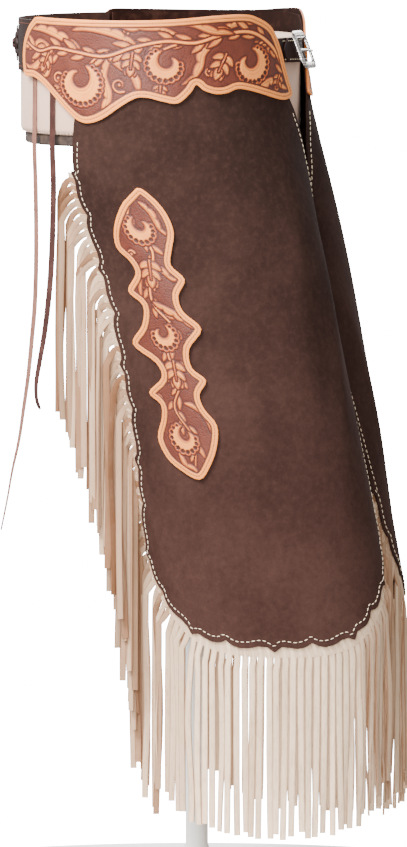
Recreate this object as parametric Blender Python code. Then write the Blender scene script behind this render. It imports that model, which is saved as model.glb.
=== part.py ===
"""Fringed leather chaps of the short western kind, worn on a limbless hip form on a stand.

Each leg is a suede sheet wrapped round the outside and front of the thigh. Its back and lower edge is
cut in scallops, with a row of fringe sewn under it. A tooled leather yoke covers the top, a tooled
overlay lies on the thigh, and a band at the back and a buckled strap in front close the waist.

Metres, +Z up. The wearer faces -Y, so the right leg is at -X. The origin is the middle of the stand's foot.
"""

import math

import bmesh
import bpy
from mathutils import Vector
from mathutils.geometry import delaunay_2d_cdt

MM = 0.001
RIGHT = -1
LEFT = 1
SIDE_NAMES = {RIGHT: "right", LEFT: "left"}

# Leather and gaps
SUEDE = 1.8 * MM
TOOLED = 2.6 * MM
SEAM_GAP = 0.3 * MM
# Stiff leather bridges the small bends of the suede under it
YOKE_GAP = 0.5 * MM
FRINGE_LEATHER = 1.3 * MM
# Millimetres of cloth for each degree round the leg, near enough for spacing points
GIRTH_PER_DEGREE = 2.44

# The hip form and its stand
FORM_HALF_WIDTH = 178 * MM
FORM_HALF_DEPTH = 146 * MM
FORM_BACK = 40 * MM
FORM_BOTTOM = 787 * MM
FORM_TOP = 889 * MM
FORM_ROUNDING = 7 * MM
FORM_PLATE_INSET = 5 * MM
FORM_PLATE_HEIGHT = 11 * MM
POLE_RADIUS = 12 * MM
COLLAR_RADIUS = 22.8 * MM
COLLAR_HEIGHT = 10 * MM
COLLAR_SLOPE = 6 * MM
FOOT_RADIUS = 165 * MM
FOOT_HEIGHT = 8 * MM
FORM_SIDES = 48
POLE_SIDES = 20
ROUNDING_STEPS = 4
SMALL_BEVEL = 1 * MM

# The inner face of the cloth, level by level. Each level is part of an ellipse: its middle lies
# "middle_out" from the centre line, "half_out" and "half_fore" are its half widths, and "right_back" and
# "left_back" say how far behind the pole the middle of each leg's ellipse lies. Millimetres.
LEVELS = (
    # height, middle_out, half_out, half_fore, right_back, left_back
    (920, 0.0, 178.5, 146.5, 40.0, 40.0),
    (870, 0.5, 178.2, 146.8, 40.0, 40.0),
    (850, 3.0, 176.8, 147.2, 39.8, 39.7),
    (800, 25.0, 160.0, 146.0, 34.0, 30.6),
    (700, 60.0, 120.0, 140.0, -2.5, 8.3),
    (600, 61.5, 116.0, 136.0, -27.7, -17.6),
    (500, 62.0, 112.0, 132.0, -52.8, -41.5),
    (400, 64.0, 105.0, 131.0, -75.6, -57.9),
    (307, 66.0, 98.0, 130.0, -96.6, -76.4),
    (240, 67.0, 95.0, 129.0, -111.0, -88.0),
)

# The middle line of the scalloped edge, from under the yoke at the back, down, along the hem and up the
# inside of the knee. Degrees run from 0 at the outer side to 90 at the front.
SCALLOPED_EDGE = (
    # degrees, height
    (-20.5, 806),
    (-24.0, 785),
    (-28.5, 758),
    (-32.0, 735),
    (-33.0, 700),
    (-32.5, 655),
    (-32.7, 610),
    (-34.5, 565),
    (-36.7, 520),
    (-39.2, 480),
    (-43.0, 440),
    (-47.5, 400),
    (-52.5, 365),
    (-53.5, 335),
    (-49.5, 308),
    (-42.0, 286),
    (-31.0, 266),
    (-18.0, 255),
    (-2.0, 250.5),
    (16.0, 250.5),
    (32.0, 252),
    (46.0, 258),
    (58.0, 270),
    (70.0, 288),
    (82.0, 307),
    (93.0, 330),
    (100.0, 358),
    (103.0, 385),
    (104.5, 405),
)
# One scallop from point to point: how far along it, and how far the edge stands out. Millimetres.
SCALLOP = (
    # share, out
    (0.00, 3.6),
    (0.09, -0.9),
    (0.18, -0.4),
    (0.27, 0.8),
    (0.37, -0.6),
    (0.45, -3.2),
    (0.52, -0.6),
    (0.60, 1.0),
    (0.72, 0.4),
    (0.83, -1.4),
    (0.93, -0.6),
)
SCALLOP_COUNT = 9
PLAIN_BEFORE_SCALLOPS = 62.0

# The plain inner edge from the knee up to the waist
INNER_EDGE = (
    # degrees, height
    (108, 440),
    (113, 500),
    (116, 560),
    (117, 640),
    (117, 700),
    (111, 724),
    (104, 750),
    (98, 780),
    (89, 810),
)
# The suede under the yoke, just inside the yoke's own edge
UNDER_YOKE = (
    # degrees, height
    (82, 829),
    (77, 854),
    (72.5, 878),
    (67, 897),
    (59.5, 908),
    (40, 910.5),
    (24, 907.5),
    (8, 906.5),
    (-8, 906.5),
    (-28, 907.5),
    (-39.5, 907.5),
    (-39.5, 850),
    (-32.5, 843),
    (-26.5, 830),
    (-21, 815),
)
YOKE = (
    # degrees, height
    (-40, 911),
    (-28, 911),
    (-8, 910),
    (8, 910),
    (24, 911),
    (40, 914),
    (54, 915),
    (61, 911),
    (69, 900),
    (74.5, 879),
    (79, 854),
    (84, 831),
    (83, 826),
    (79, 823.5),
    (74, 824),
    (67, 828),
    (58, 834),
    (51, 837),
    (46, 833),
    (41, 832),
    (36, 836),
    (33, 842),
    (30.5, 834),
    (25, 823),
    (19, 825),
    (13, 829),
    (8, 828),
    (1, 818),
    (-4, 810),
    (-9, 804),
    (-14, 801.5),
    (-18, 804),
    (-22, 812),
    (-28, 827),
    (-34, 840),
    (-41, 848),
    (-48, 848.5),
    (-50.5, 853),
    (-51.5, 868),
    (-50, 885),
    (-45, 902),
)
OVERLAY = (
    # degrees, height
    (-1, 734),
    (4, 726),
    (8, 709),
    (9, 688),
    (6, 669),
    (4, 653),
    (8.5, 638),
    (4, 621),
    (4.5, 604),
    (10.5, 586),
    (3, 565),
    (2, 545),
    (7, 532),
    (2.5, 517),
    (3, 502),
    (7, 485),
    (5, 464),
    (0, 443),
    (-7, 427),
    (-16, 438),
    (-21, 451),
    (-23, 471),
    (-18.5, 492),
    (-17.5, 506),
    (-22, 518),
    (-13.5, 534),
    (-14.5, 550),
    (-24, 569),
    (-16.5, 589),
    (-13.5, 610),
    (-19, 625),
    (-13, 643),
    (-14, 656),
    (-19, 671),
    (-17, 692),
    (-9, 719),
)

# The fringe, one strip under each leg's scalloped edge
FRINGE_STRANDS = 56
STRAND_WIDTH = 9.0
STRIP_OUTER_INSET = 5.0
STRIP_INNER_INSET = 16.0
PAST_EDGE = 10.5
DROOP = 16 * MM
STRAND_LENGTH = 236 * MM
SHORT_STRANDS = 0.84
HANG_APART = 2.25 * MM
PAGE_PITCH = 2.1 * MM
FREE_PITCH = 9 * MM
STRAND_GAP = 0.3 * MM
SHORT_BELOW = 300 * MM
NEIGHBOURS = 7
WIDTH_ROUNDS = 30
SMALL_TWIST = 0.9

# Waist closing
WAIST_CLEAR = 0.8 * MM
BAND_LOW = 853
BAND_HIGH = 908
BAND_FROM = -41.0
BAND_TO = -89.6
STRAP_LOW = 862
STRAP_HIGH = 888
STRAP_LEAN = 10 * MM
STRAP_OVERLAP_GAP = 0.7 * MM
STRAP_STEP = 0.4 * MM
STRAP_TIP = 102.0
STRAP_GRID = (6.1, 13.0)
STRAP_LEAN_HALF_WIDTH = 42 * MM
BUCKLE_WIDTH = 46 * MM
BUCKLE_HEIGHT = 42 * MM
BUCKLE_BAR = 7 * MM
BUCKLE_THICKNESS = 3.6 * MM
BUCKLE_SLOPE = 1.2 * MM
BUCKLE_BACK = 0.3 * MM
BUCKLE_CORNER = 9 * MM
WINDOW_CORNER = 3 * MM
BUCKLE_GAP = 0.5 * MM
TONGUE_WIDTH = 3.2 * MM
TONGUE_THICKNESS = 1.8 * MM
ROSETTE_DEGREES = -74.0
ROSETTE_RADIUS = 19 * MM
ROSETTE_POINTS = 8
ROSETTE_GAP = 0.5 * MM
ROSETTE_RINGS = (
    # share of the radius, depth of the petals, out
    (1.00, 0.23, 0.0),
    (1.00, 0.23, 1.6 * MM),
    (0.40, 0.00, 5.0 * MM),
)

# The two laces under the back end of the right yoke: millimetres out from the centre line, behind the
# pole, and up. They hang straight and then drift back.
LACE_WIDTH = 8.5 * MM
LACE_THICKNESS = 1.7 * MM
LACE_TIP = 0.45
LACES = {
    "lace_outer": (
        # out, back, height
        (131, 140.6, 852),
        (131, 140.8, 815),
        (131, 141.0, 771),
        (131, 139.7, 729),
        (131, 139.1, 665),
        (131, 140.5, 611),
        (131, 143.6, 575),
        (131, 148.0, 532),
        (131, 153.4, 495),
        (131, 158.3, 463),
        (131, 165.6, 431),
        (131, 171.5, 399),
        (131, 178.2, 367),
    ),
    "lace_inner": (
        # out, back, height
        (155.3, 113.8, 836.5),
        (155.3, 114.0, 800),
        (155.3, 114.0, 770),
        (155.3, 112.8, 730),
        (155.3, 114.5, 667),
        (155.3, 117.2, 625),
        (155.3, 122.2, 582),
        (155.3, 128.0, 549),
        (155.3, 132.0, 525),
        (155.3, 131.6, 508),
        (155.3, 127.7, 497),
    ),
}


def between(rows, at):
    """The values of a table at a height, joined by straight lines. The first column falls."""
    if at >= rows[0][0]:
        return rows[0][1:]
    pairs = list(zip(rows, rows[1:]))
    upper, lower = next((pair for pair in pairs if at >= pair[1][0]), pairs[-1])
    share = (upper[0] - at) / (upper[0] - lower[0])
    return tuple(a + (b - a) * share for a, b in zip(upper[1:], lower[1:]))


def smooth_level(height):
    """The ellipse at a height in millimetres, with the corners between levels rounded off."""
    reach = 40
    samples = [between(LEVELS, height + step) for step in (-reach, -reach / 2, 0, reach / 2, reach)]
    return tuple(sum(values) / len(samples) for values in zip(*samples))


def cloth_point(side, degrees, height, out=0.0):
    """A point of the cloth's inner face, or out metres outside it. Height is in millimetres."""
    middle_out, half_out, half_fore, right_back, left_back = smooth_level(height)
    back = right_back if side == RIGHT else left_back
    turn = math.radians(degrees)
    across = middle_out + half_out * math.cos(turn)
    along = back - half_fore * math.sin(turn)
    normal = Vector((half_fore * math.cos(turn), -half_out * math.sin(turn)))
    normal.normalize()
    return Vector((
        side * (across * MM + out * normal.x),
        along * MM + out * normal.y,
        height * MM,
    ))


def flat(point):
    """Degrees and height as millimetres on the flat sheet."""
    return Vector((point[0] * GIRTH_PER_DEGREE, point[1]))


def curve_through(points, steps):
    """A smooth line through flat points."""
    padded = [2 * points[0] - points[1], *points, 2 * points[-1] - points[-2]]
    line = []
    for a, b, c, d in zip(padded, padded[1:], padded[2:], padded[3:]):
        for step in range(steps):
            t = step / steps
            line.append(0.5 * (2 * b + (c - a) * t + (2 * a - 5 * b + 4 * c - d) * t * t
                               + (3 * b - a - 3 * c + d) * t ** 3))
    line.append(points[-1].copy())
    return line


class Line:
    """A flat line that can be asked for the point, direction and outward side at a length along it."""

    def __init__(self, points):
        self.points = points
        self.along = [0.0]
        for a, b in zip(points, points[1:]):
            self.along.append(self.along[-1] + (b - a).length)
        self.length = self.along[-1]

    def at(self, distance):
        distance = min(max(distance, 0.0), self.length)
        for i, reached in enumerate(self.along[1:]):
            if distance <= reached:
                share = (distance - self.along[i]) / (reached - self.along[i])
                return self.points[i].lerp(self.points[i + 1], share)
        return self.points[-1]

    def direction(self, distance):
        return (self.at(distance + 4) - self.at(distance - 4)).normalized()

    def outward(self, distance):
        """Away from the cloth: to the right of the way the line runs."""
        ahead = self.direction(distance)
        return Vector((ahead.y, -ahead.x))


def scallop_offset(share):
    """How far the edge stands out at a share of one scallop."""
    rows = SCALLOP + ((1.0, SCALLOP[0][1]),)
    for (share_a, out_a), (share_b, out_b) in zip(rows, rows[1:]):
        if share <= share_b:
            return out_a + (out_b - out_a) * (share - share_a) / (share_b - share_a)
    return rows[-1][1]


def edge_line():
    return Line(curve_through([flat(row) for row in SCALLOPED_EDGE], 5))


def scalloped_edge(line):
    """The cut edge: plain at first, then whole scallops to the end."""
    points = [line.at(distance) for distance in (0.0, PLAIN_BEFORE_SCALLOPS * 0.45)]
    pitch = (line.length - PLAIN_BEFORE_SCALLOPS) / SCALLOP_COUNT
    for number in range(SCALLOP_COUNT):
        for share, out in SCALLOP:
            distance = PLAIN_BEFORE_SCALLOPS + (number + share) * pitch
            points.append(line.at(distance) + line.outward(distance) * out)
    points.append(line.at(line.length))
    return points


def panel_outline():
    line = edge_line()
    return scalloped_edge(line) + [flat(row) for row in INNER_EDGE + UNDER_YOKE]


def split_long_edges(outline, longest):
    """The closed outline again with points added on its long edges."""
    points = []
    for a, b in zip(outline, outline[1:] + outline[:1]):
        pieces = max(1, math.ceil((b - a).length / longest))
        points += [a.lerp(b, piece / pieces) for piece in range(pieces)]
    return points


def inside(point, outline):
    odd = False
    for a, b in zip(outline, outline[1:] + outline[:1]):
        if (a.y > point.y) != (b.y > point.y):
            if point.x < a.x + (point.y - a.y) * (b.x - a.x) / (b.y - a.y):
                odd = not odd
    return odd


def distance_to(point, outline):
    nearest = math.inf
    for a, b in zip(outline, outline[1:] + outline[:1]):
        edge = b - a
        share = min(1.0, max(0.0, (point - a).dot(edge) / edge.length_squared))
        nearest = min(nearest, (point - a - edge * share).length)
    return nearest


def triangles_in(outline, across, up, longest):
    """Flat points and triangles that fill an outline, on a grid that every layer of the leg shares."""
    border = split_long_edges(outline, longest)
    low_x, high_x = min(p.x for p in border), max(p.x for p in border)
    low_y, high_y = min(p.y for p in border), max(p.y for p in border)
    points = list(border)
    margin = 0.38 * min(across, up)
    for column in range(math.ceil(low_x / across), math.floor(high_x / across) + 1):
        for row in range(math.ceil(low_y / up), math.floor(high_y / up) + 1):
            point = Vector((column * across, row * up))
            if inside(point, border) and distance_to(point, border) > margin:
                points.append(point)
    count = len(border)
    edges = [(i, (i + 1) % count) for i in range(count)]
    filled = delaunay_2d_cdt(points, edges, [], 1, 1e-6)
    return filled[0], filled[2]


def add_object(name, mesh_data, material):
    mesh = bpy.data.meshes.new(name)
    mesh_data.to_mesh(mesh)
    mesh_data.free()
    mesh.materials.append(material)
    thing = bpy.data.objects.new(name, mesh)
    bpy.context.scene.collection.objects.link(thing)
    return thing


def close_outwards(shape):
    """Turns every face of a closed shape outwards."""
    bmesh.ops.recalc_face_normals(shape, faces=shape.faces)
    if shape.calc_volume(signed=True) < 0:
        bmesh.ops.reverse_faces(shape, faces=shape.faces)


def wrapped_sheet(name, side, outline, inner, outer, material, grid=(13.4, 27.0), longest=15.0,
                  place=cloth_point):
    """A sheet of leather cut to a flat outline and wrapped on the leg between two offsets."""
    points, faces = triangles_in(outline, grid[0], grid[1], longest)
    shape = bmesh.new()
    layers = []
    for out in (inner, outer):
        layers.append([
            shape.verts.new(place(side, p.x / GIRTH_PER_DEGREE, p.y, out)) for p in points
        ])
    inner_points, outer_points = layers
    uses = {}
    for face in faces:
        shape.faces.new([outer_points[i] for i in face])
        shape.faces.new([inner_points[i] for i in reversed(face)])
        for a, b in zip(face, face[1:] + face[:1]):
            uses.setdefault(frozenset((a, b)), []).append((a, b))
    for pairs in uses.values():
        if len(pairs) == 1:
            a, b = pairs[0]
            shape.faces.new((outer_points[b], outer_points[a], inner_points[a], inner_points[b]))
    loose = [v for v in shape.verts if not v.link_faces]
    bmesh.ops.delete(shape, geom=loose, context="VERTS")
    close_outwards(shape)
    return add_object(name, shape, material)


def rectangle(low_degrees, high_degrees, low, high):
    corners = ((low_degrees, low), (high_degrees, low), (high_degrees, high), (low_degrees, high))
    return [flat(corner) for corner in corners]


def strand_layout(side, line):
    """Root, first bend and hanging place of every strand, from the back of the hip round to the knee."""
    start = PLAIN_BEFORE_SCALLOPS + 4
    pitch = (line.length - start - 6) / FRINGE_STRANDS
    middle = -(SEAM_GAP + FRINGE_LEATHER / 2)
    strands = []
    for number in range(FRINGE_STRANDS):
        distance = start + (number + 0.5) * pitch
        outward = line.outward(distance)
        edge = line.at(distance)
        bend_flat = edge + outward * (PAST_EDGE - STRIP_OUTER_INSET)
        bend = cloth_point(side, bend_flat.x / GIRTH_PER_DEGREE, bend_flat.y, middle)
        level = Vector((outward.x, 0)) + edge
        beyond = cloth_point(side, level.x / GIRTH_PER_DEGREE, level.y, middle)
        here = cloth_point(side, edge.x / GIRTH_PER_DEGREE, edge.y, middle)
        sideways = Vector((beyond.x - here.x, beyond.y - here.y))
        hang = bend.to_2d() + sideways * (PAST_EDGE * 0.7)
        root_flat = edge - outward * STRIP_OUTER_INSET
        root = cloth_point(side, root_flat.x / GIRTH_PER_DEGREE, root_flat.y, middle)
        strands.append({
            "distance": distance,
            "bend": bend,
            "hang": hang,
            "outward": outward,
            "outward_in_space": (bend - root).normalized(),
        })
    return strands


def spread_hanging(strands):
    """Keeps neighbours a little apart where the edge is steep, so upper strands hang outside lower ones."""
    lowest = min(range(len(strands)), key=lambda i: strands[i]["bend"].z)
    for order in (range(lowest - 1, -1, -1), range(lowest + 1, len(strands))):
        before = strands[lowest]["hang"]
        heading = Vector((0, 0))
        for i in order:
            step = strands[i]["hang"] - before
            if heading.length and step.dot(heading) < HANG_APART:
                step = heading * HANG_APART
            elif step.length < HANG_APART:
                step = step.normalized() * HANG_APART
            strands[i]["hang"] = before + step
            heading = (heading * 3 + step.normalized()).normalized()
            strands[i]["spacing"] = step
            before = strands[i]["hang"]
    neighbour = strands[lowest + 1]
    strands[lowest]["spacing"] = neighbour["hang"] - strands[lowest]["hang"]


def aim_hanging(side, line, strands):
    """Which way each strand starts, which way its hanging part faces, and how wide it may be there."""
    middle = -(SEAM_GAP + FRINGE_LEATHER / 2)
    for strand in strands:
        distance, bend = strand["distance"], strand["bend"]
        edge = line.at(distance) + strand["outward"] * (PAST_EDGE - STRIP_OUTER_INSET)
        following = edge + line.direction(distance)
        forward = cloth_point(side, following.x / GIRTH_PER_DEGREE, following.y, middle) - bend
        raised = cloth_point(side, edge.x / GIRTH_PER_DEGREE, edge.y, middle + MM) - bend
        strand["forward"] = forward.normalized()
        strand["raised"] = raised.normalized()
        spacing = strand["spacing"]
        along = spacing.normalized()
        # Crowded strands hang edge-on, like pages
        turn = math.asin(min(1.0, PAGE_PITCH / spacing.length)) if spacing.length < FREE_PITCH else 0.0
        level = Vector((forward.x, forward.y)).normalized()
        if along.dot(level) < 0:
            along.negate()
        across = Vector((-along.y, along.x))
        if across.dot(raised.to_2d()) < 0:
            across.negate()
        strand["wide_way"] = along * math.cos(turn) - across * math.sin(turn)
        strand["half_width"] = STRAND_WIDTH * MM / 2
    # A strand that would touch a neighbour is cut narrower, until none does
    for _ in range(WIDTH_ROUNDS):
        for i, strand in enumerate(strands):
            for other in strands[i + 1:i + NEIGHBOURS]:
                if plans_meet(strand, other):
                    wider = max((strand, other), key=lambda one: one["half_width"])
                    wider["half_width"] *= 0.93


def plan_corners(strand, margin):
    """The level outline of a hanging strand."""
    wide = strand["wide_way"] * (strand["half_width"] + margin)
    deep = Vector((-strand["wide_way"].y, strand["wide_way"].x)) * (FRINGE_LEATHER / 2 + margin)
    middle = strand["hang"]
    return [middle - wide - deep, middle + wide - deep, middle + wide + deep, middle - wide + deep]


def plans_meet(one, other):
    """True where two hanging strands would touch, seen from above."""
    corners_a, corners_b = (plan_corners(strand, STRAND_GAP / 2) for strand in (one, other))
    for strand in (one, other):
        for way in (strand["wide_way"], Vector((-strand["wide_way"].y, strand["wide_way"].x))):
            places_a = [corner.dot(way) for corner in corners_a]
            places_b = [corner.dot(way) for corner in corners_b]
            if max(places_a) < min(places_b) or max(places_b) < min(places_a):
                return False
    return True


def strand_rings(strand, number):
    """The four-cornered rings of one strand after its root, from its bend to its tip."""
    bend = strand["bend"]
    forward, raised = strand["forward"], strand["raised"]
    down = Vector((0, 0, -1))
    out = strand["outward_in_space"]
    hand = 1 if forward.cross(raised).dot(out) > 0 else -1
    wide_way = strand["wide_way"].to_3d()
    thick_way = down.cross(wide_way) * hand
    if forward.dot(wide_way) + raised.dot(thick_way) < 0:
        wide_way.negate()
        thick_way.negate()
    hang = strand["hang"]
    length = STRAND_LENGTH * (1 - 0.05 * (number % 3) / 2)
    if bend.z < SHORT_BELOW:
        length *= SHORT_STRANDS
    top = Vector((hang.x, hang.y, bend.z - DROOP))
    tip = Vector((hang.x, hang.y, bend.z - length))
    root_half = STRAND_WIDTH * MM / 2
    steps = (0.0, 0.25, 0.5, 0.75, 1.0) if forward.dot(wide_way) < SMALL_TWIST else (0.0, 0.5, 1.0)
    corner = bend + out * (top - bend).length * 0.3
    rings = []
    for t in steps:
        middle = bend * (1 - t) ** 2 + corner * 2 * t * (1 - t) + top * t ** 2
        ahead = (out * (1 - t) + down * t).normalized()
        across = forward * (1 - t) + wide_way * t
        across = (across - ahead * across.dot(ahead)).normalized()
        half_width = root_half * (1 - t) + strand["half_width"] * t
        rings.append(ring_round(middle, across * half_width, ahead.cross(across) * hand))
    rings.append(ring_round(tip, wide_way * strand["half_width"], thick_way))
    return rings


def ring_round(middle, wide, thick):
    deep = thick * FRINGE_LEATHER / 2
    return [middle - wide + deep, middle + wide + deep, middle + wide - deep, middle - wide - deep]


def join_rings(shape, ring, following):
    """Both wide faces of a strand are split along the same diagonal, so that a twist keeps it whole."""
    a, b = ring, following
    for corners in (
        (a[0], a[1], b[1]), (a[0], b[1], b[0]), (a[3], b[2], a[2]), (a[3], b[3], b[2]),
        (a[1], a[2], b[2]), (a[1], b[2], b[1]), (a[3], a[0], b[0]), (a[3], b[0], b[3]),
    ):
        shape.faces.new(corners)


def fringe(side, material):
    """A narrow strip under the edge with every strand growing out of its outer side."""
    line = edge_line()
    strands = strand_layout(side, line)
    spread_hanging(strands)
    aim_hanging(side, line, strands)
    shape = bmesh.new()

    def station(distance):
        """Outer front, outer back, inner front and inner back corner of the strip."""
        corners = []
        for inset in (STRIP_OUTER_INSET, STRIP_INNER_INSET):
            place = line.at(distance) - line.outward(distance) * inset
            for out in (-SEAM_GAP, -SEAM_GAP - FRINGE_LEATHER):
                corners.append(cloth_point(side, place.x / GIRTH_PER_DEGREE, place.y, out))
        return [shape.verts.new(corner) for corner in corners]

    half = STRAND_WIDTH / 2
    stations = []
    for strand in strands:
        stations.append(station(strand["distance"] - half))
        stations.append(station(strand["distance"] + half))
    for index, (a, b) in enumerate(zip(stations, stations[1:])):
        shape.faces.new((a[0], b[0], b[2], a[2]))
        shape.faces.new((a[1], a[3], b[3], b[1]))
        shape.faces.new((a[2], b[2], b[3], a[3]))
        if index % 2:
            shape.faces.new((a[0], a[1], b[1], b[0]))
    for end in (stations[0], stations[-1]):
        shape.faces.new((end[0], end[2], end[3], end[1]))
    for number, strand in enumerate(strands):
        a, b = stations[2 * number], stations[2 * number + 1]
        ring = [a[0], b[0], b[1], a[1]]
        for corners in strand_rings(strand, number):
            following = [shape.verts.new(corner) for corner in corners]
            join_rings(shape, ring, following)
            ring = following
        shape.faces.new(ring)
    bmesh.ops.triangulate(shape, faces=shape.faces)
    close_outwards(shape)
    return add_object(f"{SIDE_NAMES[side]}_fringe", shape, material)


def stacked(name, rings, material):
    """A closed solid from level rings of the same number of points, lowest first."""
    shape = bmesh.new()
    loops = [[shape.verts.new(point) for point in ring] for ring in rings]
    for lower, upper in zip(loops, loops[1:]):
        for i in range(len(lower)):
            j = (i + 1) % len(lower)
            shape.faces.new((lower[i], lower[j], upper[j], upper[i]))
    shape.faces.new(list(reversed(loops[0])))
    shape.faces.new(loops[-1])
    bmesh.ops.triangulate(shape, faces=shape.faces)
    close_outwards(shape)
    return add_object(name, shape, material)


def oval(half_x, half_y, middle_y, height, sides):
    """A level oval ring."""
    turns = [math.tau * i / sides for i in range(sides)]
    return [(half_x * math.cos(turn), middle_y + half_y * math.sin(turn), height) for turn in turns]


def form_ring(inset, height):
    """The hip form's oval moved in by the inset."""
    return oval(FORM_HALF_WIDTH - inset, FORM_HALF_DEPTH - inset, FORM_BACK, height, FORM_SIDES)


def hip_form(material):
    """A short oval hip block with rounded edges."""
    turns = [math.radians(90 * step / (ROUNDING_STEPS - 1)) for step in range(ROUNDING_STEPS)]
    lower = [(1 - math.sin(turn), FORM_BOTTOM + FORM_ROUNDING * (1 - math.cos(turn))) for turn in turns]
    upper = [(1 - math.cos(turn), FORM_TOP - FORM_ROUNDING * (1 - math.sin(turn))) for turn in turns]
    rings = [form_ring(FORM_ROUNDING * share, height) for share, height in lower + upper]
    return stacked("hip_form", rings, material)


def form_plate(material):
    top = FORM_BOTTOM - SEAM_GAP
    rings = (
        form_ring(FORM_PLATE_INSET + SMALL_BEVEL, top - FORM_PLATE_HEIGHT),
        form_ring(FORM_PLATE_INSET, top - FORM_PLATE_HEIGHT + SMALL_BEVEL),
        form_ring(FORM_PLATE_INSET, top),
    )
    return stacked("form_plate", rings, material)


def round_rings(rows, sides):
    return [oval(radius, radius, 0.0, height, sides) for radius, height in rows]


def stand(material):
    """A round foot with a straight pole."""
    foot_rows = (
        # radius, height
        (FOOT_RADIUS - SMALL_BEVEL, 0.0),
        (FOOT_RADIUS, SMALL_BEVEL),
        (FOOT_RADIUS, FOOT_HEIGHT - 2 * SMALL_BEVEL),
        (FOOT_RADIUS - 2 * SMALL_BEVEL, FOOT_HEIGHT),
    )
    stacked("stand_foot", round_rings(foot_rows, FORM_SIDES), material)
    pole_rows = (
        # radius, height
        (COLLAR_RADIUS, FOOT_HEIGHT + SEAM_GAP),
        (COLLAR_RADIUS, FOOT_HEIGHT + COLLAR_HEIGHT),
        (POLE_RADIUS, FOOT_HEIGHT + COLLAR_HEIGHT + COLLAR_SLOPE),
        (POLE_RADIUS, FORM_BOTTOM - FORM_PLATE_HEIGHT - 2 * SEAM_GAP),
    )
    stacked("stand_pole", round_rings(pole_rows, POLE_SIDES), material)


def waist_point(side, degrees, height, out=0.0):
    """A point just outside the hip form, for the band and the strap that lie on it."""
    turn = math.radians(degrees)
    clear = WAIST_CLEAR + out
    return Vector((
        side * (FORM_HALF_WIDTH + clear) * math.cos(turn),
        FORM_BACK - (FORM_HALF_DEPTH + clear) * math.sin(turn),
        height * MM,
    ))


def strap_point(side, degrees, height, out=0.0):
    """The front strap follows the form and leans out at its lower edge near the buckle."""
    point = waist_point(side, degrees, height, out)
    near_middle = max(0.0, 1 - (point.x / STRAP_LEAN_HALF_WIDTH) ** 2) ** 2
    drop = (STRAP_HIGH - height) / (STRAP_HIGH - STRAP_LOW)
    point.y -= (STRAP_LEAN * drop + STRAP_STEP) * near_middle
    return point


def strap_over(side, degrees, height, out=0.0):
    """The strap's free end, which lies on the other strap past the middle."""
    past_middle = max(0.0, min(1.0, (degrees - 84.5) / 4.5))
    rise = (3 - 2 * past_middle) * past_middle ** 2
    return strap_point(side, degrees, height, out + rise * (SUEDE + STRAP_OVERLAP_GAP))


def front_straps(material):
    """The buckle strap on the right yoke, and the longer strap from the left that passes over it."""
    middle = (STRAP_LOW + STRAP_HIGH) / 2
    under = (
        # degrees, height
        (77.6, STRAP_LOW),
        (88.6, STRAP_LOW),
        (88.6, STRAP_HIGH),
        (72.6, STRAP_HIGH),
    )
    over = (
        # degrees, height
        (77.6, STRAP_LOW),
        (STRAP_TIP - 3, STRAP_LOW),
        (STRAP_TIP - 0.8, STRAP_LOW + 6),
        (STRAP_TIP, middle),
        (STRAP_TIP - 0.8, STRAP_HIGH - 6),
        (STRAP_TIP - 3, STRAP_HIGH),
        (72.6, STRAP_HIGH),
    )
    for name, side, outline, place in (
        ("strap_buckle_end", RIGHT, under, strap_point),
        ("strap_tip_end", LEFT, over, strap_over),
    ):
        wrapped_sheet(name, side, [flat(row) for row in outline], 0.0, SUEDE, material,
                      grid=STRAP_GRID, longest=7.0, place=place)


def ring_outline(half_width, half_height, corner, count=5):
    """A rectangle with round corners, as points across and up."""
    points = []
    for centre_x, centre_z, start in (
        (half_width - corner, half_height - corner, 0),
        (corner - half_width, half_height - corner, 90),
        (corner - half_width, corner - half_height, 180),
        (half_width - corner, corner - half_height, 270),
    ):
        for step in range(count):
            turn = math.radians(start + 90 * step / (count - 1))
            points.append((centre_x + corner * math.cos(turn), centre_z + corner * math.sin(turn)))
    return points


def joined_loops(name, loops, material, ends_meet):
    """A closed solid through loops of points, joined end to end or capped."""
    shape = bmesh.new()
    rings = [[shape.verts.new(point) for point in loop] for loop in loops]
    following = rings[1:] + rings[:1] if ends_meet else rings[1:]
    for a, b in zip(rings, following):
        for i in range(len(a)):
            j = (i + 1) % len(a)
            shape.faces.new((a[i], a[j], b[j], b[i]))
    if not ends_meet:
        shape.faces.new(rings[0])
        shape.faces.new(rings[-1])
    bmesh.ops.triangulate(shape, faces=shape.faces)
    close_outwards(shape)
    return add_object(name, shape, material)


def on_buckle(x, z, out):
    """A place on the buckle's leaning seat: across, up and out of it."""
    lean = math.atan2(STRAP_LEAN, (STRAP_HIGH - STRAP_LOW) * MM)
    straps = WAIST_CLEAR + 2 * SUEDE + STRAP_OVERLAP_GAP
    strap_front = FORM_BACK - FORM_HALF_DEPTH - straps - STRAP_STEP - STRAP_LEAN / 2
    seat = strap_front - BUCKLE_GAP / math.cos(lean)
    return Vector((
        x,
        seat - out * math.cos(lean) + z * math.sin(lean),
        (STRAP_HIGH + STRAP_LOW) / 2 * MM + z * math.cos(lean) - out * math.sin(lean),
    ))


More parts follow.
